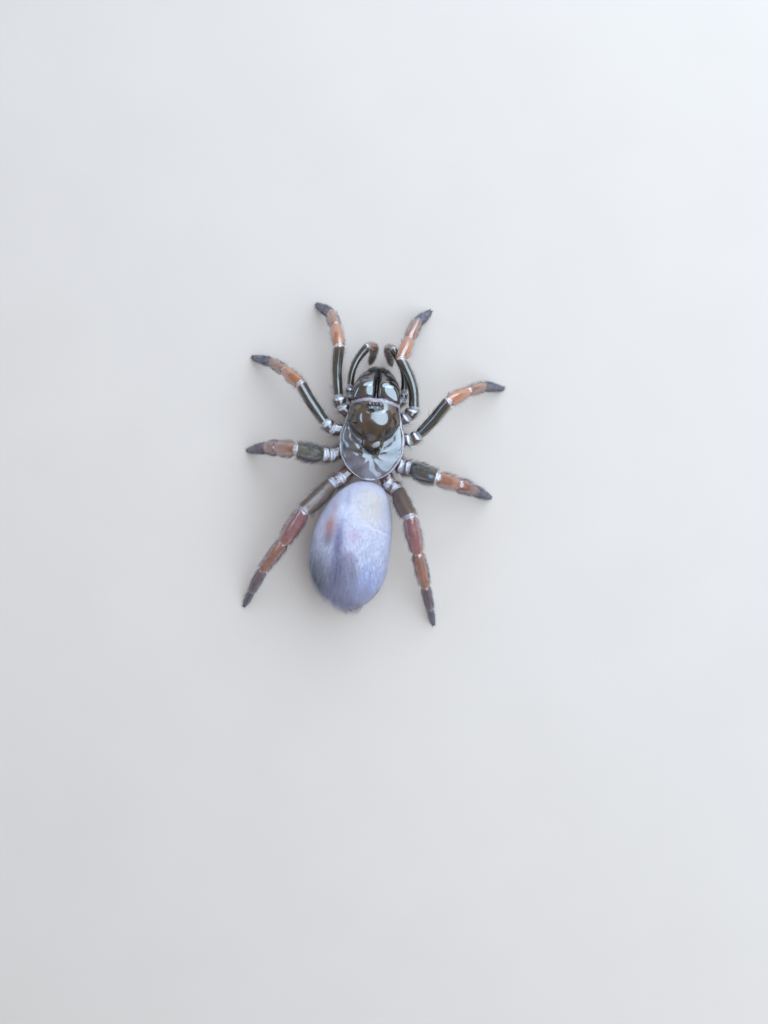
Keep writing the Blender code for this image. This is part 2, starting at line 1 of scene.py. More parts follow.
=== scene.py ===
import math

import bmesh
import bpy
import numpy as np
from mathutils import Matrix, Vector, noise


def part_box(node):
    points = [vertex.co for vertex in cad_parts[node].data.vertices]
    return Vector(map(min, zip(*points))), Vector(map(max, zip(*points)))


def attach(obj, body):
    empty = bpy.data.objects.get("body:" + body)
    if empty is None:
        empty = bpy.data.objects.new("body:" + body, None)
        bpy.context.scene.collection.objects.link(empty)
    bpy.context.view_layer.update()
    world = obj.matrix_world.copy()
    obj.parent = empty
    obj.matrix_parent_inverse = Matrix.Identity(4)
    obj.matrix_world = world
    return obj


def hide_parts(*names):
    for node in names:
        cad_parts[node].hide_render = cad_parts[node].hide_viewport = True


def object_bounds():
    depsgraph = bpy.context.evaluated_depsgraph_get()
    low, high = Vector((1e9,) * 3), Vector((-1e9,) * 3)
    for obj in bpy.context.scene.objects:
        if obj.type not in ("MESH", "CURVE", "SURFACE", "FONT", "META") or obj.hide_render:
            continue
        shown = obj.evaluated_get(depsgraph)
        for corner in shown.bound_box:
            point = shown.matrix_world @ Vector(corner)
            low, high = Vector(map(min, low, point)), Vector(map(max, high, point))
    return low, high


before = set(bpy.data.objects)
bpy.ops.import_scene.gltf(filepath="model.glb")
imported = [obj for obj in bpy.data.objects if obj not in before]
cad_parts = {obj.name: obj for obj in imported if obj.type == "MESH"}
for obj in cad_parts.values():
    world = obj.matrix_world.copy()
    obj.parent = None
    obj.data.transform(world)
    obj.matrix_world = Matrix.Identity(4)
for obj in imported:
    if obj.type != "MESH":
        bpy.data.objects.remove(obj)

# Carapace
# One hard, glossy plate roofs the front of the body: a high domed head in front, a low fluted
# thorax behind, a deep curved pit where the sucking stomach's muscles hang, and a pale rim.
# Everything is modelled in millimetres from the waist, and piece() carries it to its place.
MM = 0.001
SMALLEST_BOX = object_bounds()
CARAPACE_LENGTH = 9.5
CARAPACE_HALF_WIDTH = 3.8
CARAPACE_MIDDLE_Y = -4.6
FRONT_HALF_WIDTH = 2.85
FRONT_BOW = 0.5
SEAM_Z = 5.2
SEAM_DEPTH = 0.12
RIM = 0.4
UNDER_RIM = ((0.02, 0.24), (-0.01, 0.06), (-0.1, 0), (-0.4, 0.12))
HEAD_HALF_WIDTH = 3.0
HEAD_ROUND_Y = -7.5
NECK_HALF_WIDTH = 1.05
HEAD_CREST = 3.0
HEAD_END_RISE = 0.6
CLYPEUS_RISE = 1.5
THORAX_RISE = 1.15
CREST_SHARE = 0.28
FOVEA_SHARE = 0.66
FOVEA_DEPTH = 0.4
FOVEA_WIDTH = 0.3
FOVEA_HALF_SPAN = 0.95
FOVEA_CURVE = 0.5
STRIAE = ((58, 0.25), (92, 0.26), (126, 0.12), (156, 0.07))
STRIA_WIDTH = 13
STRIA_CURVE = 7
NECK_RISE = 0.1
SCALLOPS = ((0.3, 0.13), (0.55, 0.07), (0.78, 0.05))
EYES_Y = -8.3
MOUND_HALF_WIDTH = 0.95
MOUND_HALF_LENGTH = 0.6
MOUND_RISE = 0.3
low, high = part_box("carapace")
waist = Vector(((low.x + high.x) / 2, high.y + 0.01 * CARAPACE_LENGTH * MM, 0))


class Reading:
    """A value on its way through a finish's nodes. Sums on it add Math nodes."""

    def __init__(self, finish, socket):
        self.finish = finish
        self.socket = socket

    def maths(self, operation, *values):
        return self.finish.node("ShaderNodeMath", {"operation": operation}, *values)

    def __add__(self, other):
        return self.maths("ADD", self, other)

    def __rsub__(self, other):
        return self.maths("SUBTRACT", other, self)

    def __mul__(self, other):
        return self.maths("MULTIPLY", self, other)

    def __rmul__(self, other):
        return self.maths("MULTIPLY", other, self)

    def between(self, low, high, start=0.0, end=1.0):
        """Start up to low, end past high, and a smooth rise from one to the other."""
        settings = {"interpolation_type": "SMOOTHSTEP"}
        return self.finish.node("ShaderNodeMapRange", settings, self, low, high, start, end)


class Finish:
    """A material whose nodes are all added by node(), with constants on the shader's sockets."""

    def __init__(self, name, **constants):
        self.material = bpy.data.materials.new(name)
        self.material.use_nodes = True
        self.tree = self.material.node_tree
        self.shader = self.tree.nodes["Principled BSDF"]
        for socket, value in constants.items():
            self.shader.inputs[socket.replace("_", " ")].default_value = value

    def node(self, kind, settings, *values, out=0, **named):
        made = self.tree.nodes.new(kind)
        for setting, value in settings.items():
            if setting == "stops":
                for _ in value[2:]:
                    made.color_ramp.elements.new(0.5)
                for element, (position, colour) in zip(made.color_ramp.elements, value):
                    element.position = position
                    element.color = (*colour, 1)
            else:
                setattr(made, setting, value)
        sockets = [s for s in made.inputs if s.enabled]
        pairs = list(zip(sockets, values))
        pairs += [(made.inputs[name.replace("_", " ")], value) for name, value in named.items()]
        for socket, value in pairs:
            if isinstance(value, Reading):
                self.tree.links.new(value.socket, socket)
            elif isinstance(value, tuple) and socket.type == "RGBA":
                socket.default_value = (*value, 1)
            else:
                socket.default_value = value
        return Reading(self, [s for s in made.outputs if s.enabled][out])

    def spot(self):
        """Where a point of the surface is, in millimetres from the waist."""
        place = self.node("ShaderNodeTexCoord", {}, out=3)
        shift = tuple(-c / MM for c in waist)
        return self.node("ShaderNodeMapping", {}, place, Scale=(1 / MM,) * 3, Location=shift)

    def attribute(self, name):
        return self.node("ShaderNodeAttribute", {"attribute_name": name}, out=2)

    def mottle(self, scale, detail=3.0, spot=None):
        spot = spot or self.spot()
        return self.node("ShaderNodeTexNoise", {}, Vector=spot, Scale=scale, Detail=detail)

    def blotch(self, centre, reach, softness):
        """One at the centre of an oval patch, fading to nought at its edge."""
        away = self.node("ShaderNodeVectorMath", {"operation": "SUBTRACT"}, self.spot(), centre)
        scaled = self.node("ShaderNodeVectorMath", {"operation": "DIVIDE"}, away, reach)
        far = self.node("ShaderNodeVectorMath", {"operation": "LENGTH"}, scaled)
        return far.between(1.0 - softness, 1.0, 1.0, 0.0)

    def mix(self, share, first, second):
        return self.node("ShaderNodeMix", {"data_type": "RGBA"}, share, first, second)

    def paint(self, colour, roughness=None, bump=None, bump_depth=0.02, coat=None):
        """Links what varies over the surface. Bumps are bump_depth high, in millimetres."""
        if bump:
            bump = self.node("ShaderNodeBump", {}, Height=bump, Distance=bump_depth * MM, Strength=1.0)
        inputs = {"Base Color": colour, "Roughness": roughness, "Coat Weight": coat, "Normal": bump}
        for socket, value in inputs.items():
            if value:
                self.tree.links.new(value.socket, self.shader.inputs[socket])
        return self


def face_order(face):
    """Extruding lists its faces in no fixed order, so they are put in order of their corners."""
    corners = [vert.index for vert in face.verts]
    return min(corners) * 1e6 + sum(corners)


def placed(name, data):
    made = bpy.data.objects.new(name, data)
    bpy.context.scene.collection.objects.link(made)
    return made


def mounted(name, mesh, finish, slot, *nodes):
    """Makes a finished mesh a piece of the frame: its body and the nodes it replaces. Its slot is not used.
    """
    mesh.shade_smooth()
    mesh.materials.append(finish.material)
    made = placed(name, mesh)
    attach(made, "root")
    if nodes:
        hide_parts(*nodes)
    return made


def piece(name, bm, finish, slot, *nodes):
    """Carries a mesh from millimetres at the waist to its place, and mounts it."""
    bm.verts.index_update()
    bm.faces.sort(key=face_order)
    bmesh.ops.recalc_face_normals(bm, faces=bm.faces)
    bmesh.ops.scale(bm, vec=Vector((MM, MM, MM)), verts=bm.verts)
    bmesh.ops.translate(bm, vec=waist, verts=bm.verts)
    mesh = bpy.data.meshes.new(name)
    bm.to_mesh(mesh)
    bm.free()
    return mounted(name, mesh, finish, slot, *nodes)


def extruded(bm, edges):
    """Extrudes an open edge, and gives the new corners and the new open edge."""
    grown = bmesh.ops.extrude_edge_only(bm, edges=edges)["geom"]
    corners = [g for g in grown if isinstance(g, bmesh.types.BMVert)]
    return corners, [g for g in grown if isinstance(g, bmesh.types.BMEdge) and g.is_boundary]


def smooth_share(low, high, value):
    share = min(1, max(0, (value - low) / (high - low)))
    return share * share * (3 - 2 * share)


def bell(away, width):
    """One where away is nought, falling smoothly to nought beyond the width on both sides."""
    return math.exp(-((away / width) ** 2))


def carapace_half_width(share):
    if share < 0.5:
        swell = smooth_share(0.0, 0.5, share)
        return FRONT_HALF_WIDTH + (CARAPACE_HALF_WIDTH - FRONT_HALF_WIDTH) * swell
    rear = (share - 0.5) / 0.5
    return CARAPACE_HALF_WIDTH * max(0, 1 - rear**2.4) ** 0.6


def head_rise(share):
    if share < CREST_SHARE:
        climb = math.sin(math.pi / 2 * share / CREST_SHARE)
        return CLYPEUS_RISE + (HEAD_CREST - CLYPEUS_RISE) * climb
    fall = min(1, (share - CREST_SHARE) / (FOVEA_SHARE - CREST_SHARE))
    return HEAD_END_RISE + (HEAD_CREST - HEAD_END_RISE) * math.cos(math.pi / 2 * fall) ** 2


def head_edge(x, share):
    """How far inside the head's outline a point is, in mm. It is round, with a neck behind."""
    past = max(0, (share - 1) * CARAPACE_LENGTH - HEAD_ROUND_Y)
    dome = math.sqrt(max(0, HEAD_HALF_WIDTH**2 - past**2))
    half_width = dome + NECK_HALF_WIDTH + math.sqrt((dome - NECK_HALF_WIDTH) ** 2 + 0.3)
    return half_width / 2 - abs(x)


def carapace_form(x, share):
    """The plate's height above its rim, how much head, how far a point is darkened by painted shade in the
    pit, the seam and the furrows and by the eye mound's own black, and its bearing and distance from the
    pit."""
    width = max(carapace_half_width(share), 0.001)
    out = min(1, abs(x) / width)
    thorax = THORAX_RISE * (1 - share**4) ** 0.7 * (1 - out**2) ** 0.6
    inside = head_edge(x, share)
    over = min(1, abs(x) / min(inside + abs(x), width))
    behind = smooth_share(FOVEA_SHARE, FOVEA_SHARE + 0.04, share)
    head = head_rise(share) * (1 - over**2.5) ** 0.6 * (1 - behind)
    rise = (head + thorax + math.sqrt((head - thorax) ** 2 + 0.02)) / 2 - 0.03
    in_head = smooth_share(-0.3, 0.15, inside) * (1 - behind)
    neck = smooth_share(0.36, 0.5, share)
    seam = bell(inside, 0.2) * smooth_share(0.2, 0.36, share) * (1 - behind)
    y = (share - 1) * CARAPACE_LENGTH
    fovea_y = (FOVEA_SHARE - 1) * CARAPACE_LENGTH
    curved = fovea_y - FOVEA_CURVE * x * x
    spread = FOVEA_WIDTH * (2.2 if y > curved else 1)
    ends = math.exp(-((x / FOVEA_HALF_SPAN) ** 6))
    pit = bell(y - curved, spread) * ends
    sunk = bell(y - curved, FOVEA_WIDTH) * ends
    reach = math.hypot(x, y - fovea_y)
    bearing = math.atan2(abs(x), fovea_y - y)
    turned = math.degrees(bearing) + STRIA_CURVE * (reach - 2)
    flutes = sum(depth * bell(turned - middle, STRIA_WIDTH) for middle, depth in STRIAE)
    flutes *= smooth_share(0.6, 1.5, reach) * (1 - smooth_share(2.9, 4.1, reach)) * (1 - in_head)
    slack = 0.11 * noise.noise(Vector((x * 0.8, y * 0.8, 3))) * (1 - in_head)
    out = math.hypot(x / MOUND_HALF_WIDTH, (y - EYES_Y) / MOUND_HALF_LENGTH)
    rise += MOUND_RISE * (1 - smooth_share(0.35, 1.25, out))
    rise += NECK_RISE * in_head * neck - SEAM_DEPTH * seam - FOVEA_DEPTH * pit - flutes + slack
    # Painted shade: the pit, the seam and the furrows are darkened by how deep they sink; the eye mound is
    # darkened to its own black.
    dark = min(1, 1.2 * sunk + 0.25 * seam + 1.7 * flutes + 0.9 * (1 - smooth_share(0.75, 1.2, out)))
    return rise, in_head, dark, bearing, reach


bm = bmesh.new()
bmesh.ops.create_grid(bm, x_segments=110, y_segments=150, size=1)
names = ("round", "along", "head", "dark", "bearing", "reach", "rim", "steep")
layers = [bm.verts.layers.float.new(name) for name in names]
rim_layer, steep_layer = layers[-2:]
lay_layer = bm.verts.layers.float_vector.new("lay")
for vert in bm.verts:
    sideways, back = vert.co.x, (vert.co.y + 1) / 2
    share = 1 - (1 - back) ** 1.6 * 0.998 - 0.002
    width = carapace_half_width(share)
    x = width * math.sin(math.pi / 2 * sideways)
    rise, in_head, dark, bearing, reach = carapace_form(x, share)
    edge = min(width - abs(x), (1 - share) * CARAPACE_LENGTH)
    front = share * CARAPACE_LENGTH
    border = 0.05 * bell(edge - 0.1, 0.08) - 0.03 * bell(edge - 0.27, 0.08)
    scallop = sum(depth * bell(share - place, 0.035) for place, depth in SCALLOPS)
    pulled_in = 1 - scallop * (abs(x) / width) ** 6 / width
    bow = (FRONT_BOW * (x / FRONT_HALF_WIDTH) ** 2 + 0.14 * bell(x, 0.6)) * (1 - share) ** 3
    vert.co = (x * pulled_in, (share - 1) * CARAPACE_LENGTH + bow, SEAM_Z + RIM + rise + border)
    rim = max(1 - smooth_share(0.08, 0.24, edge), 1 - smooth_share(0.32, 0.6, front))
    for layer, value in zip(layers, ((sideways + 1) / 2, share, in_head, dark, bearing, reach, rim)):
        vert[layer] = value
    vert[lay_layer] = (0, -1, 0)
bm.normal_update()
for vert in bm.verts:
    vert[steep_layer] = 1 - abs(vert.normal.z)
edges = [edge for edge in bm.edges if edge.is_boundary]
for outward, rise in UNDER_RIM:
    lower, edges = extruded(bm, edges)
    for vert in lower:
        away = Vector((vert.co.x, vert.co.y - CARAPACE_MIDDLE_Y, 0)).normalized()
        vert.co += away * outward
        vert.co.z = SEAM_Z + rise
        vert[rim_layer] = 1
bmesh.ops.edgeloop_fill(bm, edges=edges)

shell = Finish("carapace shell", Coat_Weight=1.0, Coat_Roughness=0.13, Coat_IOR=2.45, Specular_IOR_Level=0.4)
along, head, dark = (shell.attribute(name) for name in ("along", "head", "dark"))
cloud = shell.mottle(0.8, 4.0)
grain = shell.mottle(7.0, 3.0)
fan = shell.node("ShaderNodeCombineXYZ", {}, 5 * shell.attribute("bearing"), 0.5 * shell.attribute("reach"))
rayed = (0.6 * shell.mottle(1.0, 2.0, fan) + 0.4 * cloud).between(0.3, 0.7)
head_brown = shell.mix(cloud.between(0.35, 0.65), (0.022, 0.010, 0.004), (0.060, 0.030, 0.014))
thorax_grey = shell.mix(rayed, (0.055, 0.042, 0.038), (0.15, 0.125, 0.13))
thorax_pale = shell.mix(cloud.between(0.3, 0.7), (0.12, 0.10, 0.11), (0.22, 0.19, 0.225))
thorax_grey = shell.mix(along.between(0.55, 0.85) * 0.85, thorax_grey, thorax_pale)
shade = shell.mix(head, thorax_grey, head_brown)
# Painted shade in the pit, the seam and the furrows, and the eye mound's own black, towards near-black.
shade = shell.mix(dark * 0.92, shade, (0.012, 0.008, 0.006))
pale_edge = shell.attribute("rim") * grain.between(0.25, 0.6, 0.6, 0.95)
shade = shell.mix(pale_edge, shade, (0.45, 0.36, 0.40))
swells = shell.mottle(0.8, 1.0) + 0.3 * shell.mottle(2.2, 1.0)
steep = shell.attribute("steep").between(0.2, 0.4) * head
behind = along.between(0.6, 0.85) * (1 - head)
neck = along.between(0.5, 0.6) * head
gloss = (1 - 0.4 * behind) * (1 - 0.6 * steep) * (1 - 0.85 * dark) * (1 - 0.6 * neck)
shell.paint(shade, grain.between(0.3, 0.7, 0.18, 0.3) + 0.15 * behind, swells, 0.03, gloss)
carapace = piece("carapace_shell", bm, shell, "carapace", "carapace")

# Eyes
# Eight simple eyes sit close together on a low oval mound behind the front edge: two large oval
# ones at the outer corners, two round dark ones between them, and four smaller, paler ones behind.
# Each kind's place beside and behind the mound's middle, its radius, how oval it is and its colour.
EYE_KINDS = {
    "front_middle": (0.20, -0.24, 0.17, 1.0, (0.004, 0.004, 0.006)),
    "front_outer": (0.62, -0.28, 0.22, 1.25, (0.012, 0.012, 0.016)),
    "rear_outer": (0.60, 0.24, 0.18, 1.2, (0.02, 0.02, 0.025)),
    "rear_middle": (0.32, 0.20, 0.14, 1.1, (0.13, 0.12, 0.14)),
}


def mottled_finish(name, scale, first, second, **constants):
    """A finish of two colours in soft patches."""
    finish = Finish(name, **constants)
    return finish.paint(finish.mix(finish.mottle(scale), first, second))


for kind, (x, y, radius, oblong, colour) in EYE_KINDS.items():
    bm = bmesh.new()
    for side in (1, -1):
        rise = carapace_form(side * x, 1 + (EYES_Y + y) / CARAPACE_LENGTH)[0]
        lens = bmesh.ops.create_uvsphere(bm, u_segments=32, v_segments=20, radius=radius)["verts"]
        bmesh.ops.scale(bm, vec=(oblong, 1, 0.75), verts=lens)
        place = Vector((side * x, EYES_Y + y, SEAM_Z + RIM + rise - 0.02))
        bmesh.ops.translate(bm, vec=place, verts=lens)
    lit = tuple(2.2 * c for c in colour)
    glassy = {"Roughness": 0.03, "Coat_Weight": 1.0, "Specular_IOR_Level": 0.9}
    lens_finish = mottled_finish(f"eye lens {kind}", 4.0, colour, lit, **glassy)
    nodes = ["eyes"] if kind == "front_outer" else []
    piece(f"eyes_{kind}", bm, lens_finish, "eye", *nodes)

# Jaws
# Two stout chelicerae, near-black and glossy, stand side by side in front of the head. A rake of
# short thick spines for digging tips each, bristles fringe them, and each carries a curved fang
# that folds back beneath between two rows of teeth.
GAP = 0.3
JAW_LENGTH = 3.62
JAW_BASE_Y = -9.56
JAW_INNER = 0.05
JAW_HALF_WIDTH = 2.85
JAW_CREST_SHIFT = 0.25
JAW_TOP_Z = 7.1
JAW_BOTTOM_Z = 4.95
# Spikes here and below are given by their length and thickness.
RAKE_SPINE = (0.5, 0.15)
TOOTH = (0.26, 0.16)
FANG_ROOT = (0.95, -12.55, 2.15)
FANG_POINT = (0.6, -10.0, 1.95)
FANG_SAG = Vector((0, -0.25, -0.55))
FANG_THICKNESS = 0.8
FANG_SOCKET = ((0.98, -12.6, 3.45), (0.97, -12.78, 2.55))
LOWEST_HAIR = 0.01
HAIR_PAST_TOP = 0.18
HAIR_PATCH = 0.0015
SIDES = {1: "left", -1: "right"}
ACROSS, ALONG, UP = Vector((1, 0, 0)), Vector((0, 1, 0)), Vector((0, 0, 1))


def column(source, field, width=3, kind=float):
    """One field of all of a mesh's corners or faces, a row for each."""
    values = np.empty(len(source) * width, kind)
    source.foreach_get(field, values)
    return values.reshape(-1, width)


def setae(name, skin, finish, slot, seed, count, size, thickness, lift, stray=0.25):
    """Bristles rooted over a skin. size gives each one's length in mm, none where it is nought,
    from how far along and how near the top its root is and where it is in mm from the waist."""
    rng = np.random.default_rng(seed)
    mesh = skin.data
    mesh.calc_loop_triangles()
    places, normals = column(mesh.vertices, "co"), column(mesh.vertices, "normal")
    lay = column(mesh.attributes["lay"].data, "vector")
    corners = np.sort(column(mesh.loop_triangles, "vertices", 3, int), axis=1)
    corners = corners[np.lexsort(corners.T[::-1])]
    kept = {layer: np.zeros(len(places)) for layer in ("round", "along", "top")}
    for layer in kept:
        if layer in mesh.attributes:
            kept[layer] = column(mesh.attributes[layer].data, "value", 1)[:, 0]
    a, b, c = (places[corners[:, k]] for k in range(3))
    areas = np.linalg.norm(np.cross(b - a, c - a), axis=1)
    chosen = rng.choice(len(corners), size=count, p=areas / areas.sum())
    weights = rng.dirichlet((1, 1, 1), count)
    picked = corners[chosen]

    def read(values):
        return np.einsum("nk,nk...->n...", weights, values[picked])

    def unit(vectors):
        return vectors / np.maximum(np.linalg.norm(vectors, axis=1, keepdims=True), 1e-12)

    turns = kept["round"][picked]
    turns = turns + ((turns.max(1) - turns.min(1) > 0.5)[:, None] & (turns < 0.5))
    turn = (weights * turns).sum(1) % 1
    root, normal, along, top = read(places), unit(read(normals)), read(kept["along"]), read(kept["top"])
    length = size(along, top, (root - np.array(waist)) / MM) * MM
    length = length * rng.uniform(0.6, 1.25, count)
    good = length > 0.02 * MM
    root, normal, along, turn, length = (v[good] for v in (root, normal, along, turn, length))
    flow = unit(read(lay)[good])
    flow = unit(flow - normal * np.sum(flow * normal, axis=1, keepdims=True))
    aside = np.cross(normal, flow)
    n = len(root)
    rise = np.radians(lift * rng.uniform(0.6, 1.4, n))[:, None]
    swing = rng.normal(0, stray, n)[:, None]
    start = unit(flow * np.cos(rise) + normal * np.sin(rise) + aside * swing)
    settled = rise * 0.5
    onward = unit(flow * np.cos(settled) + normal * np.sin(settled) + aside * swing * 1.3)
    wide = unit(np.cross(start, normal) + aside * 1e-6)
    deep = np.cross(start, wide)
    radius = thickness * MM / 2
    base = root - normal * radius
    middle = base + start * length[:, None] * 0.5
    tip = middle + onward * length[:, None] * 0.5
    points = np.empty((n, 7, 3))
    for k in range(3):
        spoke = wide * math.cos(2 * math.pi * k / 3) + deep * math.sin(2 * math.pi * k / 3)
        points[:, k] = base + spoke * radius
        points[:, 3 + k] = middle + spoke * radius * 0.75
    points[:, 6] = tip
    ceiling = SMALLEST_BOX[1].z + HAIR_PAST_TOP * MM
    points[:, :, 2] = np.clip(points[:, :, 2], LOWEST_HAIR * MM, ceiling)
    fan = [(k, (k + 1) % 3, 3 + (k + 1) % 3) for k in range(3)]
    fan += [(k, 3 + (k + 1) % 3, 3 + k) for k in range(3)]
    fan += [(3 + k, 3 + (k + 1) % 3, 6) for k in range(3)]
    loops = (np.arange(n)[:, None, None] * 7 + np.array(fan)[None]).reshape(-1)
    made = bpy.data.meshes.new(name)
    made.vertices.add(n * 7)
    made.vertices.foreach_set("co", points.reshape(-1))
    made.loops.add(len(loops))
    made.loops.foreach_set("vertex_index", loops)
    made.polygons.add(len(loops) // 3)
    made.polygons.foreach_set("loop_start", np.arange(0, len(loops), 3))
    made.update(calc_edges=True)
    patch = np.array([(-1, -1), (1, -1), (0, 1), (-0.6, -0.4), (0.6, -0.4), (0, 0.6), (0, 0)])
    spread = np.stack([turn, along], axis=1)[:, None] * 0.99 + 0.005 + patch[None] * HAIR_PATCH
    unwrap = made.uv_layers.new(name="OFBake")
    unwrap.uv.foreach_set("vector", spread.reshape(-1, 2)[loops].reshape(-1))
    mounted(name, made, finish, slot)


def drawn(bm, stations, sides):
    """Draws a closed skin from ring to ring. A station is how far along it is, how much of it is
    soft joint at a turn, which way the skin runs there, and a function from a turn to a point."""
    layers = bm.verts.layers
    names = ("round", "along", "top", "gap")
    around, far, top, gap = [layers.float.get(n) or layers.float.new(n) for n in names]
    lay = layers.float_vector.get("lay") or layers.float_vector.new("lay")
    ring = bmesh.ops.create_circle(bm, segments=sides, radius=1)["verts"]
    for k, vert in enumerate(ring):
        vert[around] = k / sides
        vert[top] = math.sin(2 * math.pi * k / sides)
    first = edges = list(dict.fromkeys(edge for vert in ring for edge in vert.link_edges))
    for number, (along, softness, axis, place) in enumerate(stations):
        if number:
            ring, edges = extruded(bm, edges)
        for vert in ring:
            turn = 2 * math.pi * vert[around]
            vert.co = place(turn)
            vert[far] = along
            vert[gap] = softness(turn) if callable(softness) else softness
            vert[lay] = axis
    for loop in (first, edges):
        filled = bmesh.ops.edgeloop_fill(bm, edges=loop)["faces"]
        bmesh.ops.poke(bm, faces=filled)
    return bm


def oval(centre, across, upwards, half_width, half_height=None):
    """A ring's function from a turn to a point, round where no half height is given."""
    half_height = half_height or half_width

    def place(turn):
        sideways, rise = math.cos(turn) * half_width, math.sin(turn) * half_height
        return centre + across * sideways + upwards * rise

    return place


def squared(value, power):
    """Carries a circle's cosine or sine nearer to a square's, the lower the power is."""
    return math.copysign(abs(value) ** power, value)


def jaw_outer(share):
    return JAW_HALF_WIDTH * (1 - (share * 0.97) ** 2.2) ** 0.55


def jaw_station(side, share):
    """A jaw's ring, with its crest shifted inwards and its base bowed to meet the carapace."""
    half_width = (jaw_outer(share) - JAW_INNER) / 2
    tuck = 1 - 0.05 * bell(share, 0.03)
    top = JAW_TOP_Z + 0.25 * math.sin(math.pi * min(1, share * 1.6)) - 2.6 * share**2.6
    belly = smooth_share(0.0, 0.75, share)
    bottom = JAW_BOTTOM_Z - 2.1 * belly + 0.9 * smooth_share(0.8, 1.0, share)
    middle_x = side * (JAW_INNER + half_width)
    middle = Vector((middle_x, JAW_BASE_Y - JAW_LENGTH * share, (top + bottom) / 2))
    wide, tall = half_width * tuck, (top - bottom) / 2 * tuck

    def place(turn):
        c, s = math.cos(turn), math.sin(turn)
        x = (squared(c, 0.75) - JAW_CREST_SHIFT * max(0, s) ** 3) * wide
        x = max(x, 0.6 * JAW_INNER - abs(middle.x))
        bow = FRONT_BOW * ((middle.x + side * x) / FRONT_HALF_WIDTH) ** 2 * (1 - share) ** 2
        return middle + Vector((side * x, bow, squared(s, 0.8) * tall))

    return share, 0, Vector((0, -1, -0.2)), place


jaw_shell = Finish("jaw shell", Coat_Weight=1.0, Coat_Roughness=0.1, Coat_IOR=2.5, Specular_IOR_Level=0.4)
jaw_cloud = jaw_shell.mottle(1.2, 4.0)
streaks = jaw_shell.node("ShaderNodeMapping", {}, jaw_shell.spot(), Scale=(5.0, 0.5, 2.0))
streaks = jaw_shell.mottle(1.0, 1.5, streaks)
jaw_shade = jaw_shell.mix(jaw_cloud.between(0.3, 0.7), (0.010, 0.006, 0.006), (0.034, 0.018, 0.016))
jaw_gloss = jaw_shell.attribute("top").between(0.2, 0.65, 0.25, 1.0)
jaw_gloss *= jaw_shell.attribute("along").between(0.75, 0.95, 1.0, 0.3)
jaw_shell.paint(jaw_shade, jaw_cloud.between(0.3, 0.7, 0.14, 0.26), streaks, 0.03, jaw_gloss)
BRISTLE_COLOURS = (0.012, 0.008, 0.008), (0.05, 0.035, 0.03)
bristle_black = mottled_finish("black bristles", 1.5, *BRISTLE_COLOURS, Roughness=0.42)
fang_shell = Finish("fang", Coat_Weight=0.8, Coat_Roughness=0.05, Roughness=0.18)
to_point = fang_shell.attribute("along").between(0.4, 1.0)
fang_shell.paint(fang_shell.mix(to_point, (0.006, 0.004, 0.004), (0.07, 0.015, 0.008)))


def spike(bm, root, heading, bend, length, thickness, sides=8, rings=6):
    """A curved spike from a root, turning towards bend as it thins to its point."""
    stations = []
    centre, axis = root.copy(), heading.normalized()
    for k in range(rings + 1):
        share = k / rings
        across = axis.cross(bend).normalized()
        half = thickness / 2 * max(0.04, (1 - share) ** 0.7)
        stations.append((share, 0, axis.copy(), oval(centre.copy(), across, across.cross(axis), half)))
        axis = (axis + bend * (0.9 / rings)).normalized()
        centre += axis * (length / rings)
    drawn(bm, stations, sides)


def fang_station(share, centre, slope, half):
    return share, 0, slope.normalized(), oval(centre, ACROSS, ACROSS.cross(slope).normalized(), half)


def jaw_bristles(along, top, spot):
    front = np.clip((along - 0.5) / 0.4, 0, 1)
    inner = np.clip(1.6 - abs(spot[:, 0]), 0, 1)
    return np.where(top < -0.3, 0.55, np.where(along > 0.35, 0.06 + front * (0.26 + 0.34 * inner), 0))


for side, word in SIDES.items():
    shares = [k / 44 for k in range(44)] + [0.985, 0.995, 1.0]
    bm = drawn(bmesh.new(), [jaw_station(side, share) for share in shares], 44)
    jaw = piece(f"jaw_{word}", bm, jaw_shell, "jaw", f"chelicera_{word}")

    mirrored = Vector((side, 1, 1))
    root, point = Vector(FANG_ROOT) * mirrored, Vector(FANG_POINT) * mirrored
    socket, elbow = (Vector(spot) * mirrored for spot in FANG_SOCKET)
    stations = []
    for share in [k / 8 for k in range(8)]:
        first, second = socket.lerp(elbow, share), elbow.lerp(root, share)
        half = FANG_THICKNESS / 2 + 0.05 + 0.06 * math.sin(math.pi * share)
        stations.append(fang_station(0, first.lerp(second, share), second - first, half))
    for share in [k / 24 for k in range(25)]:
        swung = math.pi * share**0.8
        centre = root.lerp(point, share) + FANG_SAG * math.sin(swung)
        slope = (point - root) + FANG_SAG * (math.pi * math.cos(swung))
        half = (FANG_THICKNESS * (1 - share) ** 0.75 + 0.1) / 2
        stations.append(fang_station(share, centre, slope, half))
    bm = drawn(bmesh.new(), stations, 20)
    piece(f"fang_blade_{word}", bm, fang_shell, "jaw", f"fang_{word}")

    bm = bmesh.new()
    for k in range(11):
        x = side * (0.38 + 0.15 * (k % 6))
        root = Vector((x, -13.0 + 0.12 * (k // 6) + 0.16 * x * x, 5.05 + 0.22 * (k // 6)))
        spike(bm, root, Vector((0, -1, -0.25)), Vector((0, -0.2, -0.8)), *RAKE_SPINE)
    for k in range(7):
        for row in (0.35, 1.35):
            root = Vector((side * row, -10.6 - 0.27 * k, 2.98 - 0.03 * k))
            spike(bm, root, -UP, Vector((-side * 0.2, 0.3, 0)), *TOOTH, 6, 4)
    piece(f"jaw_spines_{word}", bm, fang_shell, "jaw")
    setae(f"jaw_bristles_{word}", jaw, bristle_black, "jaw", 11 + side, 1700, jaw_bristles, 0.035, 38)


def carapace_bristles(along, top, spot):
    middle = (abs(spot[:, 0]) < 0.35) & (spot[:, 1] < -4) & (spot[:, 1] > -7.6)
    margin = (spot[:, 2] < SEAM_Z + 0.7) & (spot[:, 2] > SEAM_Z + 0.1)
    front = spot[:, 1] < -9.0
    return np.where(margin, 0.22, np.where(front, 0.3, np.where(middle, 0.35, 0)))


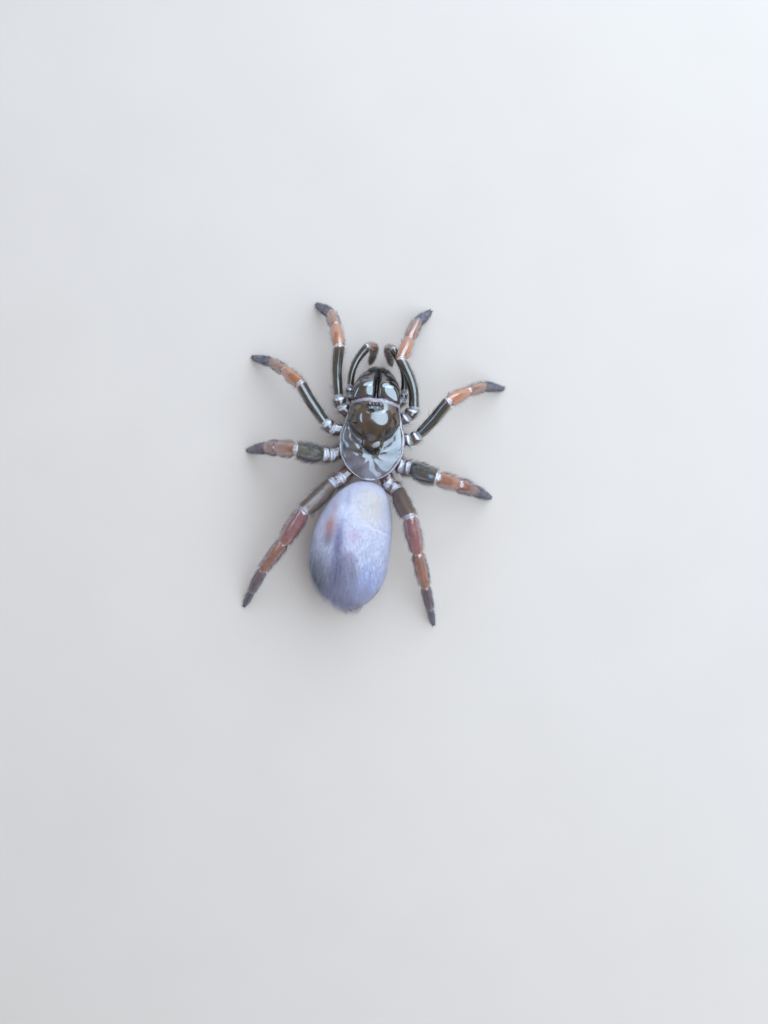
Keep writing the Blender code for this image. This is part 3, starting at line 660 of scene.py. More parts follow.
setae("carapace_bristles", carapace, bristle_black, "carapace", 5, 2600, carapace_bristles, 0.03, 40)

# Breast plate and lip
# The underside between the legs is closed by a flat, satin, red-brown plate, with a small lip in
# front of it that carries a few blunt pegs. The plate is sparsely bristled.
STERNUM_FRONT_Y = -7.3
STERNUM_REAR_Y = -2.3
STERNUM_HALF_WIDTH = 1.6
STERNUM_BOTTOM_Z = 3.2
# How far up each level is, and its share of the plate's full size.
STERNUM_LEVELS = ((0.0, 0.3), (0.02, 0.55), (0.1, 0.78), (0.22, 0.92), (0.4, 0.99), (0.6, 1.0), (1.7, 1.0))
LABIUM_Y = -7.95
LABIUM_BOTTOM_Z = 3.45
LABIUM_HALF_WIDTH = 0.55
LABIUM_HALF_LENGTH = 0.35
LABIUM_LEVELS = ((0.0, 0.5), (0.06, 0.75), (0.2, 1.0), (0.6, 1.0), (1.4, 1.0))
LIP_PEG = (0.09, 0.08)
plate = Finish("underside plate", Coat_Weight=0.3, Specular_IOR_Level=0.5)
plate_cloud = plate.mottle(1.4, 4.0)
plate_shade = plate.mix(plate_cloud.between(0.3, 0.7), (0.10, 0.032, 0.016), (0.21, 0.085, 0.05))
plate.paint(plate_shade, plate_cloud.between(0.3, 0.7, 0.28, 0.42), plate.mottle(10.0), 0.015)


def plate_ring(z, half_width, half_length, centre_y, power):
    """A level ring with rounded corners, a little narrower in front."""

    def place(turn):
        c, s = math.cos(turn), math.sin(turn)
        x = squared(c, power) * half_width * (0.88 + 0.12 * s)
        return Vector((x, centre_y + squared(s, power) * half_length, z))

    return place


def stacked(levels, centre_y, squareness, sides):
    """A block of level rings, from the height and the half width and length at each level."""
    stations = []
    for k, (z, half_width, half_length) in enumerate(levels):
        ring = plate_ring(z, half_width, half_length, centre_y, 2 / squareness)
        stations.append((k / (len(levels) - 1), 0, ALONG, ring))
    return drawn(bmesh.new(), stations, sides)


centre_y = (STERNUM_FRONT_Y + STERNUM_REAR_Y) / 2
half_length = (STERNUM_REAR_Y - STERNUM_FRONT_Y) / 2
levels = [(STERNUM_BOTTOM_Z + z, STERNUM_HALF_WIDTH * s, half_length * s) for z, s in STERNUM_LEVELS]
bm = stacked(levels, centre_y, 2.8, 56)
sternum = piece("breast_plate", bm, plate, "underside", "sternum")
levels = [(LABIUM_BOTTOM_Z + z, LABIUM_HALF_WIDTH * s, LABIUM_HALF_LENGTH * s) for z, s in LABIUM_LEVELS]
bm = stacked(levels, LABIUM_Y, 3, 36)
for x, y in ((-0.3, -0.1), (-0.12, -0.16), (0.1, -0.15), (0.28, -0.08), (-0.02, -0.02)):
    root = Vector((x, LABIUM_Y + y, LABIUM_BOTTOM_Z + 0.05))
    spike(bm, root, Vector((0, -0.2, -1)), Vector((0, -0.1, 0)), *LIP_PEG, 6, 3)
piece("lip", bm, plate, "underside", "labium")


def plate_bristles(along, top, spot):
    return np.where(spot[:, 2] < STERNUM_BOTTOM_Z + 0.35, 0.4, 0)


setae("breast_plate_bristles", sternum, bristle_black, "underside", 21, 520, plate_bristles, 0.03, 50)

# Side walls
# Between the breast plate and the roof, the body is closed by soft, pleated grey-brown skin, from
# which the hips stand out.
SIDE_WALL_Y = -5.1
# The height, half width and half length of each level.
SIDE_WALL_LEVELS = (
    (3.75, 1.45, 2.3), (3.8, 1.85, 2.75), (4.0, 2.1, 3.1), (4.3, 2.4, 3.4),
    (4.6, 2.7, 3.7), (4.9, 2.95, 4.0), (5.15, 3.05, 4.2), (5.3, 3.0, 4.2),
)
side_wall = Finish("side wall skin", Roughness=0.5, Subsurface_Weight=0.1, Subsurface_Scale=0.0004)
pleats = side_wall.node("ShaderNodeMapping", {}, side_wall.spot(), Scale=(1.0, 1.0, 6.0))
pleats = side_wall.mottle(1.0, 3.0, pleats)
wall_shade = side_wall.mix(pleats.between(0.3, 0.7), (0.07, 0.045, 0.04), (0.24, 0.19, 0.19))
side_wall.paint(wall_shade, bump=pleats, bump_depth=0.05)
piece("side_walls", stacked(SIDE_WALL_LEVELS, SIDE_WALL_Y, 2.3, 72), side_wall, "underside")

# Abdomen
# A soft, satin bag of lavender-grey hide, darker and more purple behind, with a dusky streak left
# of the middle, rusty blotches and one crease. Fine pale hair lies back over it, thickest behind.
ABDOMEN_FRONT = Vector((0.15, 0.03, 4.8))
ABDOMEN_REAR = Vector((1.1, 15.0, 4.2))
ABDOMEN_HALF_WIDTH = 4.62
ABDOMEN_HALF_HEIGHT = 4.07
ABDOMEN_SWING = 0.7
ABDOMEN_ARCH = 1.0
WIDEST_SHARE = 0.56
# How far back each pair of slits and its width, and the crease's place and slope.
LUNG_SLITS = ((3.7, 0.13), (5.9, 0.1))
CREASE = (4.95, -0.37)
DIMPLES = ((1.0, 4.3), (-1.0, 4.3), (1.15, 7.4), (-1.15, 7.4))


def abdomen_axis(share):
    swing = Vector((ABDOMEN_SWING, 0, ABDOMEN_ARCH)) * math.sin(math.pi * share)
    return ABDOMEN_FRONT.lerp(ABDOMEN_REAR, share) + swing


def abdomen_swell(share):
    if share < WIDEST_SHARE:
        return (1 - (1 - share / WIDEST_SHARE) ** 2.3) ** 0.5
    rear = (share - WIDEST_SHARE) / (1 - WIDEST_SHARE)
    return max(0, 1 - rear**2.2) ** 0.52


def abdomen_point(share, turn):
    """A point of the hide: an oval, dimpled where muscles pull, with a crease and slack folds."""
    swell = max(abdomen_swell(share), 0.03)
    centre = abdomen_axis(share)
    c, s = math.cos(turn), math.sin(turn)
    point = centre + ACROSS * (ABDOMEN_HALF_WIDTH * swell * c) + UP * (ABDOMEN_HALF_HEIGHT * swell * s)
    outward = Vector((c / ABDOMEN_HALF_WIDTH, 0, s / ABDOMEN_HALF_HEIGHT)).normalized()
    slack = noise.noise(Vector((point.x * 0.35, point.y * 0.5, point.z * 0.35))) * 0.07
    crease_y = CREASE[0] + CREASE[1] * (point.x + 0.26)
    fold = bell(point.y - crease_y, 0.12) * smooth_share(0.2, 1.0, -point.x)
    fold *= smooth_share(-0.3, 0.1, s)
    dimples = 0
    for dx, dy in DIMPLES:
        away = Vector((point.x - centre.x - dx, point.y - dy, 0)).length
        dimples += bell(away, 0.28) * (s > 0)
    front_slit, rear_slit = (bell(point.y - y, width) for y, width in LUNG_SLITS)
    slit = (front_slit + 0.5 * rear_slit) * smooth_share(0.5, 0.8, -s) * 0.12
    return point - outward * (0.03 + slack * 0.5 + 0.1 * fold + 0.05 * dimples + slit)


DARK_PURPLE_AND_SHADE, PLUM = (0.085, 0.062, 0.088), (0.15, 0.115, 0.25)
RED, ROSE = (0.42, 0.18, 0.165), (0.46, 0.31, 0.40)
# Each mark's centre, its reach, how soft its edge is, how strong it is and its colour.
ABDOMEN_MARKS = (
    ((-0.8, 2.8, 8.4), (3.6, 5.2, 4.5), 0.9, 0.95, (0.47, 0.375, 0.33)),
    # A pale blue patch high on the rear right: a painted sheen of blue light.
    ((-1.0, 11.8, 7.5), (3.6, 4.2, 4.0), 0.9, 0.7, (0.54, 0.55, 0.86)),
    ((1.0, 7.5, 1.0), (9.0, 10.0, 4.4), 0.4, 0.6, (0.36, 0.31, 0.35)),
    # The left flank behind: partly the hide's own dark purple, partly painted shade on the side turned from
    # the light.
    ((4.6, 11.8, 5.2), (3.2, 5.0, 5.6), 0.8, 1.0, DARK_PURPLE_AND_SHADE),
    ((2.2, 13.0, 7.0), (2.6, 3.6, 4.4), 0.9, 0.75, (0.30, 0.245, 0.47)),
    ((2.0, 2.4, 7.8), (0.7, 1.8, 2.6), 0.95, 0.28, PLUM),
    ((2.6, 7.2, 9.2), (1.0, 4.0, 3.0), 0.95, 0.85, PLUM),
    ((2.4, 10.3, 8.8), (1.6, 3.3, 3.2), 0.95, 0.85, PLUM),
    ((3.7, 5.6, 8.6), (1.2, 2.3, 2.4), 0.95, 0.9, RED),
    ((3.8, 7.0, 8.6), (0.9, 1.3, 2.4), 0.9, 0.7, (0.16, 0.09, 0.13)),
    ((3.4, 3.4, 7.8), (0.7, 1.1, 2.0), 0.9, 0.45, RED),
    ((0.8, 6.4, 9.5), (1.3, 1.6, 2.5), 0.95, 0.8, ROSE),
    ((1.4, 9.0, 9.5), (1.2, 1.4, 2.5), 0.95, 0.85, (0.30, 0.20, 0.30)),
    ((0.9, 10.4, 9.0), (1.4, 2.4, 2.5), 0.95, 0.65, (0.27, 0.20, 0.31)),
    ((1.3, 14.6, 5.5), (2.6, 1.7, 4.0), 0.9, 0.7, (0.22, 0.19, 0.42)),
)
LUNG_COVERS = [((0.3 + side * 1.5, 2.3, 2.6), (1.15, 1.1, 1.6)) for side in (1, -1)]
LUNG_COVERS += [((0.4 + side * 1.7, 4.9, 2.0), (0.95, 0.8, 1.6)) for side in (1, -1)]


def abdomen_colours(finish, lift):
    """The hide's pattern, also read by the hair that grows through it, paler there by lift."""
    cloud = finish.mottle(0.45, 4.0)
    fleck = finish.mottle(2.6, 3.0)
    shade = finish.mix(cloud.between(0.3, 0.7), (0.52, 0.475, 0.565), (0.61, 0.56, 0.655))
    for centre, reach, softness, share, colour in ABDOMEN_MARKS:
        mark = finish.blotch(centre, reach, softness) * cloud.between(0.3, 0.6, 0.75 * share, share)
        shade = finish.mix(mark, shade, colour)
    shade = finish.mix(fleck.between(0.45, 0.7) * 0.1, shade, (0.06, 0.05, 0.085))
    for centre, reach in LUNG_COVERS:
        shade = finish.mix(finish.blotch(centre, reach, 0.5) * 0.55, shade, (0.50, 0.43, 0.36))
    return finish.mix(lift, shade, (0.80, 0.79, 0.84)) if lift else shade


stations = []
for share in [0.5 - 0.5 * math.cos(math.pi * k / 150) for k in range(1, 150)]:
    axis = (abdomen_axis(min(1, share + 0.01)) - abdomen_axis(share)).normalized()
    stations.append((share, 0, axis, lambda turn, share=share: abdomen_point(share, turn)))
bm = drawn(bmesh.new(), stations, 120)
fleshy = {"Subsurface_Weight": 0.15, "Subsurface_Scale": 0.0006}
hide = Finish("abdomen hide", Coat_Weight=0.25, Coat_Roughness=0.28, **fleshy)
wrinkle = hide.mottle(5.0, 5.0)
hide.paint(abdomen_colours(hide, 0), wrinkle.between(0.3, 0.7, 0.34, 0.46), wrinkle, 0.04)
abdomen = piece("abdomen_hide", bm, hide, "abdomen", "abdomen")
abdomen_hair = Finish("abdomen hair", Roughness=0.45)
abdomen_hair.paint(abdomen_colours(abdomen_hair, 0.18))
pale_hair = Finish("pale abdomen hair", Roughness=0.4)
pale_hair.paint(abdomen_colours(pale_hair, 0.42))
tail_hair = mottled_finish("tail hair", 1.0, (0.05, 0.042, 0.06), (0.20, 0.18, 0.26), Roughness=0.4)


def thinned(spot, share):
    """Which roots are kept, the same ones each run, for a share at each."""
    scatter = np.abs(np.sin(spot[:, 0] * 917.3 + spot[:, 1] * 411.7 + spot[:, 2] * 613.1) * 43758.5) % 1
    return scatter < share


def upper_hair(along, top, spot):
    rear = np.clip((along - 0.3) / 0.5, 0, 1)
    return np.where((top > -0.25) & thinned(spot, 0.35 + 0.65 * rear), 0.28 + 0.42 * rear, 0)


def rear_hair(along, top, spot):
    rear = np.clip((along - 0.45) / 0.4, 0, 1) * np.clip(0.6 + 0.25 * spot[:, 0], 0.3, 1)
    return np.where((top > -0.4) & thinned(spot, rear), 0.9 + 0.5 * rear, 0)


def under_hair(along, top, spot):
    return np.where(top <= -0.2, 0.4 + 0.3 * along, 0)


def tail_tuft(along, top, spot):
    return np.where((along > 0.955) & (spot[:, 2] < 4.8), 1.9, 0)


for part in range(3):
    name = f"abdomen_hair_upper_{part}"
    setae(name, abdomen, abdomen_hair, "abdomen", 31 + part, 26000, upper_hair, 0.013, 12, 0.14)
setae("abdomen_hair_rear", abdomen, pale_hair, "abdomen", 35, 9000, rear_hair, 0.024, 26, 0.14)
setae("abdomen_hair_under", abdomen, abdomen_hair, "abdomen", 36, 36000, under_hair, 0.018, 18, 0.18)
setae("abdomen_tail_tuft", abdomen, tail_hair, "abdomen", 37, 9000, tail_tuft, 0.02, 30, 0.45)

# Spinnerets
# Under the end of the abdomen sit two silk-spinning fingers of three joints each, with a much
# smaller pair between them. They are grey-brown, ringed at the joints and finely haired.
SPINNERET_LENGTH = 1.5
SPINNERET_HALF_THICKNESS = 0.375
SPINNERET_SHARE = 0.88
SPINNERET_ROOT_OVAL = (4.65, 4.1)
SPINNERET_BEARING = 18
# How far along each ring is, its share of the thickness, and how soft it is.
SPINNERET_PROFILE = (
    (0, 0.9, 0), (0.04, 1.0, 0), (0.2, 1.04, 0), (0.33, 1.0, 0), (0.38, 0.86, 1), (0.42, 0.86, 0),
    (0.55, 0.88, 0), (0.66, 0.82, 0), (0.7, 0.68, 1), (0.74, 0.66, 0), (0.88, 0.6, 0), (0.96, 0.45, 0),
    (1.0, 0.25, 0),
)
SMALL_SPINNERET = (0.55, 0.3)
silk_finger = Finish("spinneret", Roughness=0.45, Subsurface_Weight=0.1, Subsurface_Scale=0.0004)
silk_shade = silk_finger.mix(silk_finger.mottle(2.5), (0.19, 0.15, 0.15), (0.33, 0.27, 0.25))
silk_shade = silk_finger.mix(silk_finger.attribute("gap"), silk_shade, (0.48, 0.43, 0.42))
silk_finger.paint(silk_shade, bump=silk_finger.mottle(12.0), bump_depth=0.02)


def finger_hair(along, top, spot):
    return np.full(len(along), 0.3)


for side, word in SIDES.items():
    turn = math.radians(-90 + side * SPINNERET_BEARING)
    wide, tall = SPINNERET_ROOT_OVAL
    from_axis = Vector((wide * math.cos(turn), 0, tall * math.sin(turn))) * abdomen_swell(SPINNERET_SHARE)
    heading = Vector((side * 0.12, 1, 0.12)).normalized()
    root = abdomen_axis(SPINNERET_SHARE) + from_axis + Vector((0, 0.3, -0.45))
    across = heading.cross(UP).normalized()
    stations = []
    for far, swell, soft in SPINNERET_PROFILE:
        centre = root + heading * (SPINNERET_LENGTH * far)
        ring = oval(centre, across, across.cross(heading), SPINNERET_HALF_THICKNESS * swell)
        stations.append((far, soft, heading, ring))
    bm = drawn(bmesh.new(), stations, 28)
    silk = piece(f"spinneret_finger_{word}", bm, silk_finger, "abdomen", f"spinneret_{word}")
    name = f"spinneret_hair_{word}"
    setae(name, silk, abdomen_hair, "abdomen", 41 + side, 420, finger_hair, 0.025, 35)
    bm = bmesh.new()
    root += Vector((-side * 0.75, -0.25, 0.25))
    spike(bm, root, Vector((0, 1, -0.5)), Vector((0, 0.3, 0.2)), *SMALL_SPINNERET, 16, 8)
    piece(f"spinneret_small_{word}", bm, silk_finger, "abdomen")

# Waist
# A short, narrow stalk of soft grey-brown cuticle, faintly ringed, joins the two halves. It runs
# from the end of the breast plate into the front of the abdomen.
WAIST_HALF_WIDTH = 0.5
WAIST_HALF_HEIGHT = 0.275
WAIST_Z = (4.6, 4.65)
front = Vector((0, STERNUM_REAR_Y + GAP, WAIST_Z[0]))
rear = Vector((ABDOMEN_FRONT.x, ABDOMEN_FRONT.y + GAP, WAIST_Z[1]))
stations = []
for share in [k / 20 for k in range(21)]:
    wave = math.sin(share * 25)
    swell = 0.9 - 0.22 * math.sin(math.pi * share) + 0.1 * share + 0.03 * wave
    ring = oval(front.lerp(rear, share), ACROSS, UP, WAIST_HALF_WIDTH * swell, WAIST_HALF_HEIGHT * swell)
    stations.append((share, 0.5 + 0.5 * wave, ALONG, ring))
piece("waist_stalk", drawn(bmesh.new(), stations, 28), silk_finger, "underside", "pedicel")

# Legs
# Each leg is a row of hard glossy tubes, joined by collars of soft pale skin: hip, trochanter,
# thigh, knee, shin, metatarsus and foot. The thighs are olive or brown and nearly bare, the knees
# and shins orange brown to maroon, and the last joints grey and thickly haired, ending in claws.
LEG_LENGTHS = {
    1: (1.3, 5.9, 3.5, 3.2, 2.3, 1.5),
    2: (1.2, 5.4, 3.5, 3.1, 2.4, 1.6),
    3: (1.1, 4.2, 3.2, 2.7, 2.6, 1.8),
    4: (1.3, 5.2, 4.8, 4.9, 3.7, 2.4),
}
# Each tube's width at its root, middle and end, and its depth as a share of its width.
LEG_WIDTHS = {
    1: (
        (1.1, 1.35, 1.5, 0.95), (1.45, 1.6, 1.4, 1.0), (1.2, 1.2, 1.4, 1.2), (1.35, 1.6, 1.3, 1.0),
        (1.2, 1.35, 1.15, 1.0), (0.98, 0.98, 0.8, 1.0), (0.78, 0.72, 0.42, 1.0),
    ),
    2: (
        (1.1, 1.35, 1.5, 0.95), (1.45, 1.6, 1.4, 1.0), (1.25, 1.4, 1.4, 1.15), (1.35, 1.6, 1.3, 1.0),
        (1.15, 1.25, 1.1, 1.0), (0.93, 0.95, 0.78, 1.0), (0.76, 0.70, 0.42, 1.0),
    ),
    3: (
        (1.1, 1.45, 1.7, 0.95), (1.7, 1.9, 1.7, 0.95), (1.7, 2.25, 1.75, 0.95), (1.6, 1.85, 1.6, 0.95),
        (1.5, 1.65, 1.3, 1.0), (1.12, 1.12, 0.92, 1.0), (0.88, 0.8, 0.44, 1.0),
    ),
    4: (
        (1.35, 1.55, 1.7, 0.95), (1.7, 1.9, 1.7, 0.95), (1.65, 2.0, 1.7, 1.05), (1.55, 1.85, 1.5, 1.0),
        (1.35, 1.45, 1.2, 1.0), (1.02, 1.0, 0.82, 1.0), (0.76, 0.7, 0.42, 1.0),
    ),
}
HIP_ROOTS = {1: (1.85, -6.95), 2: (1.8, -5.55), 3: (1.8, -4.2), 4: (1.4, -2.15)}
# By leg and side: where the hip ends, each tube's heading from straight ahead, how many degrees
# each rises, and how far the thigh bows out.
LEG_POSES = {
    (1, 1): ((4.0, -8.4), (20, 3, 16, 23, 52), (19, 27, -38, -45), 0.2),
    (1, -1): ((3.9, -7.9), (32, -22, 14, 18, 35), (18, 20, -35, -33), 0.5),
    (2, 1): ((4.8, -5.7), (53, 38, 52, 58, 73), (19, 27, -39, -41), 0.1),
    (2, -1): ((4.5, -5.2), (51, 37, 53, 61, 80), (18, 28, -38, -39), 0.1),
    (3, 1): ((4.7, -2.6), (89, 90, 86, 87, 97), (26, 49, -45, -52), 0.1),
    (3, -1): ((3.8, -1.9), (86, 109, 99, 102, 103), (13, 42, -39, -37), 0.1),
    (4, 1): ((3.2, 0.0), (125, 142, 150, 146, 155), (13, 32, -25, -27), 0.1),
    (4, -1): ((2.4, 0.2), (120, 152, 161, 161, 161), (6, 50, -31, -29), 0.1),
}
HIP_ROOT_Z = 4.05
HIP_END_Z = 4.25
TOE_Z = 0.1
CLAW = (0.38, 0.09)
TOE_PAD = ((0.12, 0.2), (0.22, 0.16), (0.28, 0.1))
FEMUR = 2
RING_STEP = 0.13
SKIN_FIT = 0.985
COLLAR_CUT = 0.1
# How far each joint's collar reaches and how pale it is, from the hip's root to the toe.
COLLAR_REACH = (0, 0.32, 0.34, 0.13, 0.06, 0.05, 0.05, 0)
COLLAR_PALENESS = (0, 1, 1, 0.7, 0.35, 0.2, 0.15, 0)


def heading_vector(side, heading, rise):
    turned, raised = math.radians(heading), math.radians(rise)
    level = math.cos(raised)
    return Vector((side * math.sin(turned) * level, -math.cos(turned) * level, math.sin(raised)))


def tube_ring(joint, axis, across, upwards, share, length, half, depth, cuts, bend):
    """A ring of one tube. Each end is cut off at its joint's plane, so the rings lean over to it."""

    def place(turn):
        offset = across * (half * math.cos(turn)) + upwards * (half * depth * math.sin(turn))
        offset *= 1 + 0.035 * noise.noise((joint + axis * (share * length) + offset) * 0.9)
        first, final = ((cut - offset.dot(normal)) / axis.dot(normal) for cut, normal in cuts)
        slide = first * (1 - share) ** 2 + final * share**2
        point = joint + axis * (length * share + slide) + offset + bend
        return Vector((point.x, point.y, max(0.0, point.z)))

    return place


def collar_softness(k, last, near, far):
    """How soft tube k is, from how far it is to the joints at its ends. Collars are deepest on top."""

    def soft(turn):
        upper = 0.2 + 0.8 * smooth_share(0.3, 0.95, math.sin(turn))
        most = 0
        for joint, away in ((k, near), (k + 1, far)):
            if 0 < joint <= last:
                faded = smooth_share(0.6, 1.0, away / (upper * COLLAR_REACH[joint]))
                most = max(most, COLLAR_PALENESS[joint] * (1 - faded))
        return most * (0.3 + 0.7 * upper)

    return soft


def facing_up(vector):
    return -vector if vector.z < 0 else vector


def limb_stations(side, root, hip_end, headings, rises, lengths, widths, bow):
    """A jointed limb's rings, with a soft collar at each joint, and where its joints are."""
    steps = [hip_end - root]
    first_heading = math.degrees(math.atan2(side * steps[0].x, -steps[0].y))
    for heading, rise, length in zip(headings, rises, lengths):
        steps.append(heading_vector(side, heading, rise) * length)
    acrosses = []
    for heading in (first_heading, *headings):
        turned = math.radians(heading)
        acrosses.append(Vector((math.cos(turned), side * math.sin(turned), 0)))
    joints = [root]
    for step in steps:
        joints.append(joints[-1] + step)
    axes = [step.normalized() for step in steps]
    normals = [(Vector((side, 0, 0)) + axes[0]).normalized()]
    normals += [(a + b).normalized() for a, b in zip(axes, axes[1:])] + [axes[-1]]
    stations = []
    last = len(steps) - 1
    for k, (axis, across) in enumerate(zip(axes, acrosses)):
        length = steps[k].length
        root_width, middle_width, end_width, depth = widths[k]
        upwards = facing_up(across.cross(axis))
        bowed = across * (side * bow) if k == FEMUR else Vector()
        cuts = ((COLLAR_CUT, normals[k]), (-COLLAR_CUT if k < last else 0, normals[k + 1]))
        count = max(10, round(length / RING_STEP))
        for n in range(count + 1):
            share = 0.5 - 0.5 * math.cos(math.pi * (n / count))
            share = 0.45 * share + 0.55 * n / count
            straight = root_width + (end_width - root_width) * share
            belly = (middle_width - (root_width + end_width) / 2) * math.sin(math.pi * share)
            near, far = share * length, (1 - share) * length
            neck = 1 - 0.11 * bell(near, 0.14) if k else 1
            lip = 1 + 0.02 * bell(far - 0.2, 0.1) - 0.08 * bell(far, 0.08) if k < last else 1
            half = (straight + belly) / 2 * SKIN_FIT * neck * lip
            bend = bowed * math.sin(math.pi * share)
            ring = tube_ring(joints[k], axis, across, upwards, share, length, half, depth, cuts, bend)
            soft = collar_softness(k, last, near, far)
            stations.append(((k + share) / len(steps), soft, axis, ring))
        if k < last:
            half = 0.8 * min(end_width, widths[k + 1][0]) / 2
            upright = facing_up(across.cross(normals[k + 1]))
            lean = abs(upright.dot(upwards))
            upright = upright / lean if lean > 0.3 else upright
            ring = oval(joints[k + 1], across, upright, half, half * depth)
            stations.append(((k + 1) / len(steps), 0.7 * COLLAR_PALENESS[k + 1], axis, ring))
    return stations, joints, axes


def limb_finish(name, colours, gloss, satin=0.0):
    """A limb's shell: a colour for each joint's length, paler along the top, mottled, with soft
    collars, and less glossy towards the foot. Satin dulls the thigh."""
    fleshy = {"Subsurface_Weight": 0.06, "Subsurface_Scale": 0.0004}
    glossy = {"Coat_Weight": 1.0, "Coat_Roughness": 0.14, "Coat_IOR": 2.0, "Specular_IOR_Level": 0.8}
    finish = Finish(name, **glossy, **fleshy)
    count = len(colours)
    stops = []
    for k, colour in enumerate(colours):
        stops += [((k + 0.1) / count, colour), ((k + 0.9) / count, colour)]
    along = finish.attribute("along")
    shade = finish.node("ShaderNodeValToRGB", {"stops": stops}, along)
    cloud = finish.mottle(1.3, 4.0)
    fine = finish.mottle(8.0, 3.0)
    deep = finish.mix(0.55, shade, (0.0, 0.0, 0.0))
    shade = finish.mix(cloud.between(0.35, 0.7) * 0.4, shade, deep)
    light = finish.node("ShaderNodeHueSaturation", {}, Saturation=0.9, Value=1.4, Color=shade)
    shade = finish.mix(finish.attribute("top").between(0.5, 1.0) * 0.5, shade, light)
    shade = finish.mix(finish.attribute("gap"), shade, COLLAR)
    rough = along.between(0.7, 0.95, gloss, 0.45) + 0.1 * fine
    thigh = along.between(0.26, 0.3) * along.between(0.41, 0.44, 1.0, 0.0) * satin
    finish.paint(shade, rough + 0.2 * thigh, finish.mottle(1.3, 1.0) + 0.06 * fine, 0.02, 1 - thigh)
    return finish


COLLAR, UMBER, SLATE = (0.52, 0.49, 0.53), (0.080, 0.032, 0.020), (0.060, 0.050, 0.066)
FRONT_LEG = (
    UMBER, UMBER, (0.034, 0.025, 0.015), (0.36, 0.10, 0.025),
    (0.28, 0.10, 0.050), (0.17, 0.10, 0.10), SLATE,
)
THIRD_LEG = (
    (0.13, 0.042, 0.022), (0.12, 0.05, 0.03), (0.075, 0.060, 0.042), (0.28, 0.085, 0.035),
    (0.24, 0.07, 0.035), (0.16, 0.07, 0.065), SLATE,
)
REAR_LEG = (
    (0.13, 0.042, 0.022), (0.14, 0.055, 0.035), (0.100, 0.052, 0.032), (0.27, 0.085, 0.078),
    (0.30, 0.105, 0.06), (0.19, 0.08, 0.07), SLATE,
)
leg_finishes = {
    1: limb_finish("front leg shell", FRONT_LEG, 0.14),
    2: limb_finish("second leg shell", FRONT_LEG, 0.14),
    3: limb_finish("third leg shell", THIRD_LEG, 0.2),
    4: limb_finish("rear leg shell", REAR_LEG, 0.22, 0.85),
}
hairy = {"Roughness": 0.38, "Specular_IOR_Level": 0.6}
leg_hair = mottled_finish("leg hair", 1.0, (0.045, 0.04, 0.055), (0.20, 0.19, 0.27), **hairy)
# The share of the hair's roots that are kept on each tube.
FRINGE = {
    1: (0.1, 0.1, 0.04, 0.1, 0.35, 1.0, 1.0),
    2: (0.1, 0.1, 0.04, 0.1, 0.35, 1.0, 1.0),
    3: (0.4, 0.4, 0.35, 0.4, 0.7, 1.0, 1.0),
    4: (0.3, 0.3, 0.2, 0.4, 0.6, 0.9, 1.0),
}


def joint_of(along, count=7):
    return np.clip((along * count).astype(int), 0, count - 1)


def leg_hair_length(number):
    """Hair by joint: nearly bare hips to thighs, more on knee and shin, a thick fringed foot."""
    lengths = np.array((0.6, 0.6, 0.55, 0.5, 0.55, 0.55, 0.34))

    def length(along, top, spot):
        k = joint_of(along)
        near_joint = np.abs(along * 7 - np.round(along * 7)) < 0.05
        share = np.array(FRINGE[number])[k] * np.where((top > 0.3) & (k < 5), 0.3, 1.0)
        return np.where(thinned(spot, share) & ~near_joint, lengths[k], 0)

    return length


def leg_bristle_length(number):
    """Long black bristles, mostly below and at the sides, most on the third and fourth legs."""
    shares = np.array((0.8, 0.6, 0.5, 0.4, 0.6, 0.7, 0.4)) * (1.0 if number > 2 else 0.45)

    def length(along, top, spot):
        k = joint_of(along)
        return np.where(thinned(spot, shares[k] * np.where(top > 0.25, 0.2, 1.0)), 0.95 - 0.05 * k, 0)

    return length


def leg_spine_length(along, top, spot):
    k = joint_of(along)
    share = np.array((0, 0, 0, 0.25, 0.8, 1.0, 0.3))[k]
    return np.where(thinned(spot, share) & (np.abs(top) < 0.8), 0.6 - 0.04 * k, 0)


bm_claws = bmesh.new()
for (number, side), (hip_end, headings, rises, bow) in LEG_POSES.items():
    name = f"leg_{number}_{SIDES[side]}"
    mirrored = Vector((side, 1, 1))
    root = Vector((*HIP_ROOTS[number], HIP_ROOT_Z)) * mirrored
    hip = Vector((*hip_end, HIP_END_Z)) * mirrored
    lengths = LEG_LENGTHS[number]
    ankle_z = HIP_END_Z + sum(length * math.sin(math.radians(rise)) for length, rise in zip(lengths, rises))
    fall = -math.degrees(math.asin((ankle_z - TOE_Z) / (lengths[4] + lengths[5])))
    headings, rises = (*headings, headings[-1]), (*rises, fall, fall)
    widths = LEG_WIDTHS[number]
    stations, joints, axes = limb_stations(side, root, hip, headings, rises, lengths, widths, bow)
    toe, axis = joints[-1], axes[-1]
    ahead = Vector((axis.x, axis.y, 0)).normalized()
    aside = UP.cross(ahead)
    for reach, half in TOE_PAD:
        centre = Vector((toe.x, toe.y, half * 0.72)) + ahead * reach
        stations.append((1, 0, ahead, oval(centre, aside, UP, half, half * 0.7)))
    bm = drawn(bmesh.new(), stations, 28)
    nodes = [f"{name}_{joint}" for joint in ("coxa", "femur", "patella", "tibia", "tarsus")]
    leg = piece(name, bm, leg_finishes[number], "femur", *nodes)
    seed = 100 * number + side
    hairs, bristles = leg_hair_length(number), leg_bristle_length(number)
    setae(f"{name}_hair", leg, leg_hair, "foot", seed, 11000, hairs, 0.017, 34)
    setae(f"{name}_bristles", leg, bristle_black, "foot", seed + 10, 1100, bristles, 0.026, 38)
    setae(f"{name}_spines", leg, bristle_black, "foot", seed + 20, 150, leg_spine_length, 0.065, 40, 0.15)
    for spread in (-0.13, 0.13):
        root = Vector((toe.x, toe.y, 0.28)) + ahead * 0.12 + aside * spread
        heading = ahead + aside * spread * 2 + UP * 0.45
        spike(bm_claws, root, heading, ahead * 0.1 - UP * 1.8, *CLAW, 8, 8)
horny = {"Roughness": 0.2, "Coat_Weight": 0.6}
